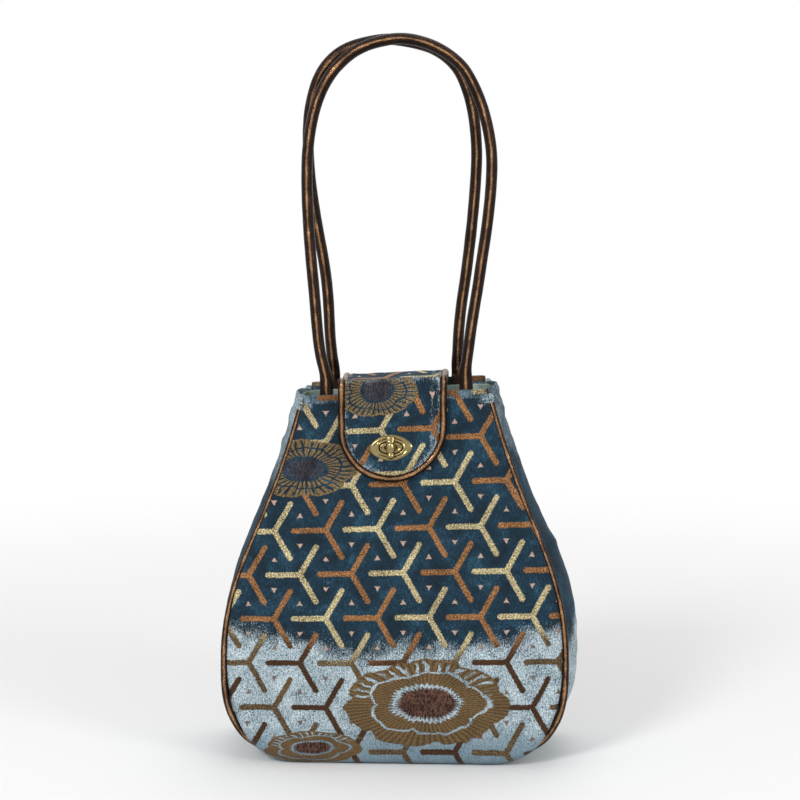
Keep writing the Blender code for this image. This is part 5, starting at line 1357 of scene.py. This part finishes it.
def turn_lock(brass):
    lo, hi = EYE_C
    middle = 0.5 * eye(-2.4) + 0.5 * slotted(2.2)
    lock_ring("lock_eye", [
        (eye(0.55), lo), (eye(0.6), lo + 0.12), (eye(0.6), lo + 0.42), (eye(0.5), lo + 0.52), (eye(0.05), lo + 0.55),
        (eye(0.0), lo + 0.62), (eye(0.0), hi - 0.65), (eye(-0.18), hi - 0.3), (eye(-0.55), hi - 0.08), (eye(-1.1), hi),
        (eye(-2.4), hi - 0.1), (middle, hi - 0.25),
        (slotted(2.2), hi - 0.15), (slotted(1.45), hi), (slotted(1.15), hi + 0.3),
        (slotted(0.8), hi + 0.42), (slotted(0.35), hi + 0.36), (slotted(0.05), hi + 0.1), (slotted(0.0), hi - 0.3),
        (slotted(0.0), lo + 0.1), (slotted(0.1), lo),
    ], brass, ["lock_eye_plate", "lock_eye_backing"], "bag")
    lo, hi = BASE_C
    top = BOSS_TOP
    lock_ring("lock_boss", [
        (round_(STEM_RADIUS + 0.3), lo),
        (eye(-1.6), lo), (eye(-1.5), lo + 0.15), (eye(-1.5), hi - 0.2), (eye(-1.7), hi),
        (slotted(-0.2), hi), (slotted(-0.6), hi + 0.3), (slotted(-0.6), top - 0.7), (slotted(-0.75), top - 0.3),
        (slotted(-1.15), top), (slotted(-1.9), top - 0.05), (slotted(-2.2), top - 0.35), (slotted(-2.6), top - 0.4),
        (round_(STEM_RADIUS + 0.35), top - 0.4), (round_(STEM_RADIUS + 0.3), top - 0.6),
    ], brass, ["lock_base"], "bag")
    centre = BOSS_TOP + SEAT + KNOB_RADIUS
    profile = np.array([(-1.0, 0.02, 0.02), (-0.99, 0.2, 0.2), *KNOB_PROFILE, (1.0, 0.3, 0.16), (1.0, 0.02, 0.02)])
    share = np.linspace(0, len(profile) - 1, 78)
    wide = np.stack([np.interp(share, np.arange(len(profile)), profile[:, k]) for k in range(3)], axis=1)
    for _ in range(3):
        wide[1:-1] = (wide[:-2] + 2 * wide[1:-1] + wide[2:]) / 4

    def bar(uv):
        a = uv[:, 0] * 2 * math.pi
        w = pick(wide, uv[:, 1])
        x = KNOB_RADIUS * w[:, 1] * np.cos(a)
        c = centre + KNOB_RADIUS * w[:, 2] * np.sin(a)
        return lock_point(np.stack([x, w[:, 0] * KNOB_HALF_HEIGHT], axis=1), c)

    skin("turn_bar", 40, 77, bar, lambda uv: uv * 20.0, [brass], ["lock_knob"], body="knob",
         merge=True)

    def stem(uv):
        a = uv[:, 0] * 2 * math.pi
        r = STEM_RADIUS * np.clip(uv[:, 1] * 8, 0, 1) * np.clip((1 - uv[:, 1]) * 8, 0, 1)
        c = BASE_C[0] + 0.6 + (centre - BASE_C[0] - 0.6) * np.clip((uv[:, 1] - 0.125) / 0.75, 0, 1)
        return lock_point(np.stack([r * np.cos(a), r * np.sin(a)], axis=1), c)

    skin("turn_bar_stem", 24, 16, stem, lambda uv: uv * 10.0, [brass], body="knob", merge=True)


# ---- the handles

FOOT = 9.0  # how far a handle's end runs down inside the mouth, over its tab


def rolled_handle(name, side, roots, arch, material_, node_name, body):
    left, right = root_point(roots[0], side), root_point(roots[1], side)
    axis = (right - left) / np.linalg.norm(right - left)
    middle = (left + right) / 2
    top_y = side * (HANDLE_RADIUS + CROWN_GAP / 2)
    tall = HANDLE_HEIGHT - (BACK_RISE if side > 0 else 0.0)
    lean_back = math.asin((middle[1] - top_y) / tall)
    up = np.cross(axis, (0.0, 1.0, 0.0))
    up /= -np.linalg.norm(up) if up[2] < 0 else np.linalg.norm(up)
    rise = up * math.cos(lean_back) - np.array([0.0, 1.0, 0.0]) * math.sin(lean_back)
    rise -= axis * (rise @ axis)
    rise /= np.linalg.norm(rise)
    thick = np.cross(axis, rise)
    flat = handle_path(left, right, arch, tall)
    # the arch is drawn upright while the hinge line is tilted, so it is turned back upright
    turn = math.asin(float(axis[2]))
    share = smooth((flat[:, 1] - 4.0) / (tall * 0.30))
    along = flat[:, 0] * (1 - share * (1 - math.cos(turn))) + flat[:, 1] * math.sin(turn) * share
    height = flat[:, 1] - flat[:, 0] * math.sin(turn) * share
    path, length = along_line(np.stack([along, height], axis=1), 300)
    for _ in range(6):
        path[1:-1] = (path[:-2] + 2 * path[1:-1] + path[2:]) / 4
    tangent = np.gradient(path, axis=0)
    tangent[0], tangent[-1] = (0.0, 1.0), (0.0, -1.0)
    tangent /= np.linalg.norm(tangent, axis=1)[:, None]
    cap = ROOT_HALF_THICK + FOOT

    def place(uv):
        a = uv[:, 0] * 2 * math.pi
        s = uv[:, 1] * (length + 2 * cap) - cap
        end = np.clip(np.maximum(-s, s - length) / cap, 0.0, 1.0)
        k = smooth(np.minimum(s, length - s) / ROOT_LENGTH)
        p = pick(path, np.clip(s / length, 0, 1))
        t = pick(tangent, np.clip(s / length, 0, 1))
        t /= np.linalg.norm(t, axis=1)[:, None]
        wave = np.array([noise.noise(Vector((x / 13.0, 5.0 * side, 0.0))) for x in s])
        round_share = np.sqrt(np.clip(1.0 - np.clip((end * cap - FOOT) / ROOT_HALF_THICK, 0.0, 1.0) ** 2, 0.0, 1.0))
        wide = (ROOT_HALF_WIDTH + (HANDLE_RADIUS - ROOT_HALF_WIDTH) * k + 0.12 * wave * k) * (0.3 + 0.7 * round_share)
        deep = (ROOT_HALF_THICK + (HANDLE_RADIUS - ROOT_HALF_THICK) * k + 0.12 * wave * k) * round_share
        deep -= 0.75 * fade(end * cap, 1.0, 4.0) * round_share
        seam = 1.0 - 0.07 * np.exp(-(((a - math.pi * 1.02) / 0.16) ** 2)) * k
        centre = middle + p[:, :1] * axis + p[:, 1:] * rise - (end * cap)[:, None] * rise
        across = t[:, 1:] * axis - t[:, :1] * rise
        return centre + (wide * seam * np.cos(a))[:, None] * across + (deep * np.sin(a))[:, None] * thick

    # the leather's two painted highlights fall a quarter turn round, on the handle's front and back
    def chart(uv):
        return (uv - (0.25, 0.0)) * (2 * math.pi * HANDLE_RADIUS, length)

    ob = skin(name, 32, 330, place, chart, [material_], [node_name], body=None, merge=True)
    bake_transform(ob, "bag", body, start=tuple((middle - 3.0 * rise) * MM), end=tuple((middle + 26.0 * rise) * MM))
    return ob


# ---- making the bag

panel_material = velvet("crushed velvet with woven metallic motifs")
plain_velvet = velvet("crushed velvet, plain", patterned=False)
bead_leather = foil_leather("bronze foiled calf leather, piping", PIPING_RADIUS)
edge_leather = foil_leather("bronze foiled calf leather, flap edge", FLAP_PIPING_RADIUS)
rolled_leather = foil_leather("bronze foiled calf leather, rolled", HANDLE_RADIUS, 2)
sewn_leather = flat_leather("bronze foiled calf leather, flat")
brass = cast_brass("pale plated brass, cast and polished")
lining_satin = satin("woven satin lining")

front_velvet = panel_velvet("front_velvet", -1, BAG_HEIGHT, panel_material, "front_panel", 3.0)
back_velvet = panel_velvet("back_velvet", 1, BAG_HEIGHT + BACK_RISE, panel_material, "back_panel", 17.0)
strip, strip_length = strip_velvet(plain_velvet)
lining = satin_lining(lining_satin)

for side, label, rim in ((-1, "front", BAG_HEIGHT), (1, "back", BAG_HEIGHT + BACK_RISE)):
    line = seam_line(side, 0.0, rim - PIPING_STOP)
    full = 1.0 + 0.22 * (1.0 - fade(line[:, 2], 60.0, 150.0))
    # the bead's painted highlight faces out from its panel
    pipe(f"{label}_seam_piping", line, PIPING_RADIUS, 14, 420, (0.0, 1.0, 0.0), bead_leather, [f"{label}_piping"],
         0.05, crest=0.5 if side < 0 else 0.0, full=full)
    for half, hand in ((-1, "left"), (1, "right")):
        line = seam_line(side, rim - PIPING_STOP - 6.0, rim - 2.0, half)
        # the gathers are painted with the pile's silver sheen all over
        pipe(f"{label}_corner_gather_{hand}", line, 3.1, 24, 40, (0.0, 1.0, 0.0), plain_velvet,
                            rough=0.26 if half > 0 else 0.16, ends=4.0, seed=5.0 * half + side,
                            attributes=lambda uv: {"nap_sheen": np.full(len(uv), 0.72), "pressed": np.zeros(len(uv))})

flap_cloth, flap_under, flap_line = flap_pieces(panel_material, sewn_leather)
pipe("flap_edge_piping", flap_line, FLAP_PIPING_RADIUS, 18, 340, (0.0, 1.0, 0.0), edge_leather, ["flap_piping"],
     0.05, seed=9.0)
turn_lock(brass)
rolled_handle("front_rolled_handle", -1, FRONT_ROOTS, FRONT_ARCH, rolled_leather, "front_handle", "handle_front")
rolled_handle("back_rolled_handle", 1, BACK_ROOTS, BACK_ARCH, rolled_leather, "back_handle", "handle_back")

for name in ("front_tab_left", "front_tab_right", "back_tab_left", "back_tab_right"):
    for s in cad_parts[name].material_slots:
        s.material = sewn_leather
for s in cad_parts["base_board"].material_slots:
    s.material = pressed_card("pressed fibre board")


# ---- floor, light and camera

def lamp(name, place, aim, size, power):
    data = bpy.data.lights.new(name, "AREA")
    data.shape = "DISK"
    data.size = size
    data.energy = power
    ob = bpy.data.objects.new(name, data)
    ob.location = place
    ob.rotation_euler = (Vector(aim) - Vector(place)).to_track_quat("-Z", "Y").to_euler()
    bpy.context.scene.collection.objects.link(ob)


WHITE = (1.0, 1.0, 1.0, 1.0)
bm = bmesh.new()
bmesh.ops.create_grid(bm, x_segments=2, y_segments=2, size=12.0)
floor = finish_piece("floor", bm, [], body=None)
floor_material, tree = new_material("matt white studio card")
card = node(tree, "BsdfPrincipled", {"Base Color": "#efefef", "Roughness": 0.9})
# to the camera the card runs out into the white of the studio, away from the bag and its shadow
spot = node(tree, "TexCoord").outputs["Object"]
away = node(tree, "MapRange", (node(tree, "VectorMath LENGTH", spot), 0.25, 1.3), interpolation_type="SMOOTHSTEP")
away = node(tree, "Math MULTIPLY", (away, node(tree, "LightPath").outputs["Is Camera Ray"]))
glow = node(tree, "Emission", {"Color": WHITE, "Strength": 1.0})
node(tree, "OutputMaterial", {"Surface": node(tree, "MixShader", (away, card, glow))})
floor.data.materials.append(floor_material)

world = bpy.context.scene.world or bpy.data.worlds.new("studio")
bpy.context.scene.world = world
world.use_nodes = True
tree = world.node_tree
tree.nodes.clear()
seen = node(tree, "LightPath").outputs
direct = node(tree, "Math MAXIMUM", (seen["Is Camera Ray"], seen["Is Glossy Ray"]))
direct = node(tree, "Math MAXIMUM", (direct, seen["Is Transmission Ray"]))
sky = node(tree, "Background", {"Color": WHITE, "Strength": node(tree, "Mix", (direct, 0.55, 1.0))})
node(tree, "OutputWorld", {"Surface": sky})

lamp("key", (-1.1, -1.9, 1.5), (0.0, 0.0, 0.25), 0.7, 30.0)
lamp("fill", (1.7, -1.4, 1.0), (0.0, 0.0, 0.25), 0.8, 14.0)
lamp("top", (0.2, 0.6, 2.4), (0.0, 0.0, 0.3), 1.6, 15.0)

camera_data = bpy.data.cameras.new("camera")
camera_data.sensor_width = 36.0
camera_data.lens = 92.8
camera = bpy.data.objects.new("camera", camera_data)
camera.location = AIM + DISTANCE * AWAY
camera.rotation_euler = Vector(-AWAY).to_track_quat("-Z", "Y").to_euler()
camera_data.clip_start = 0.05
bpy.context.scene.collection.objects.link(camera)
bpy.context.scene.camera = camera
bpy.context.scene.view_settings.view_transform = "Standard"
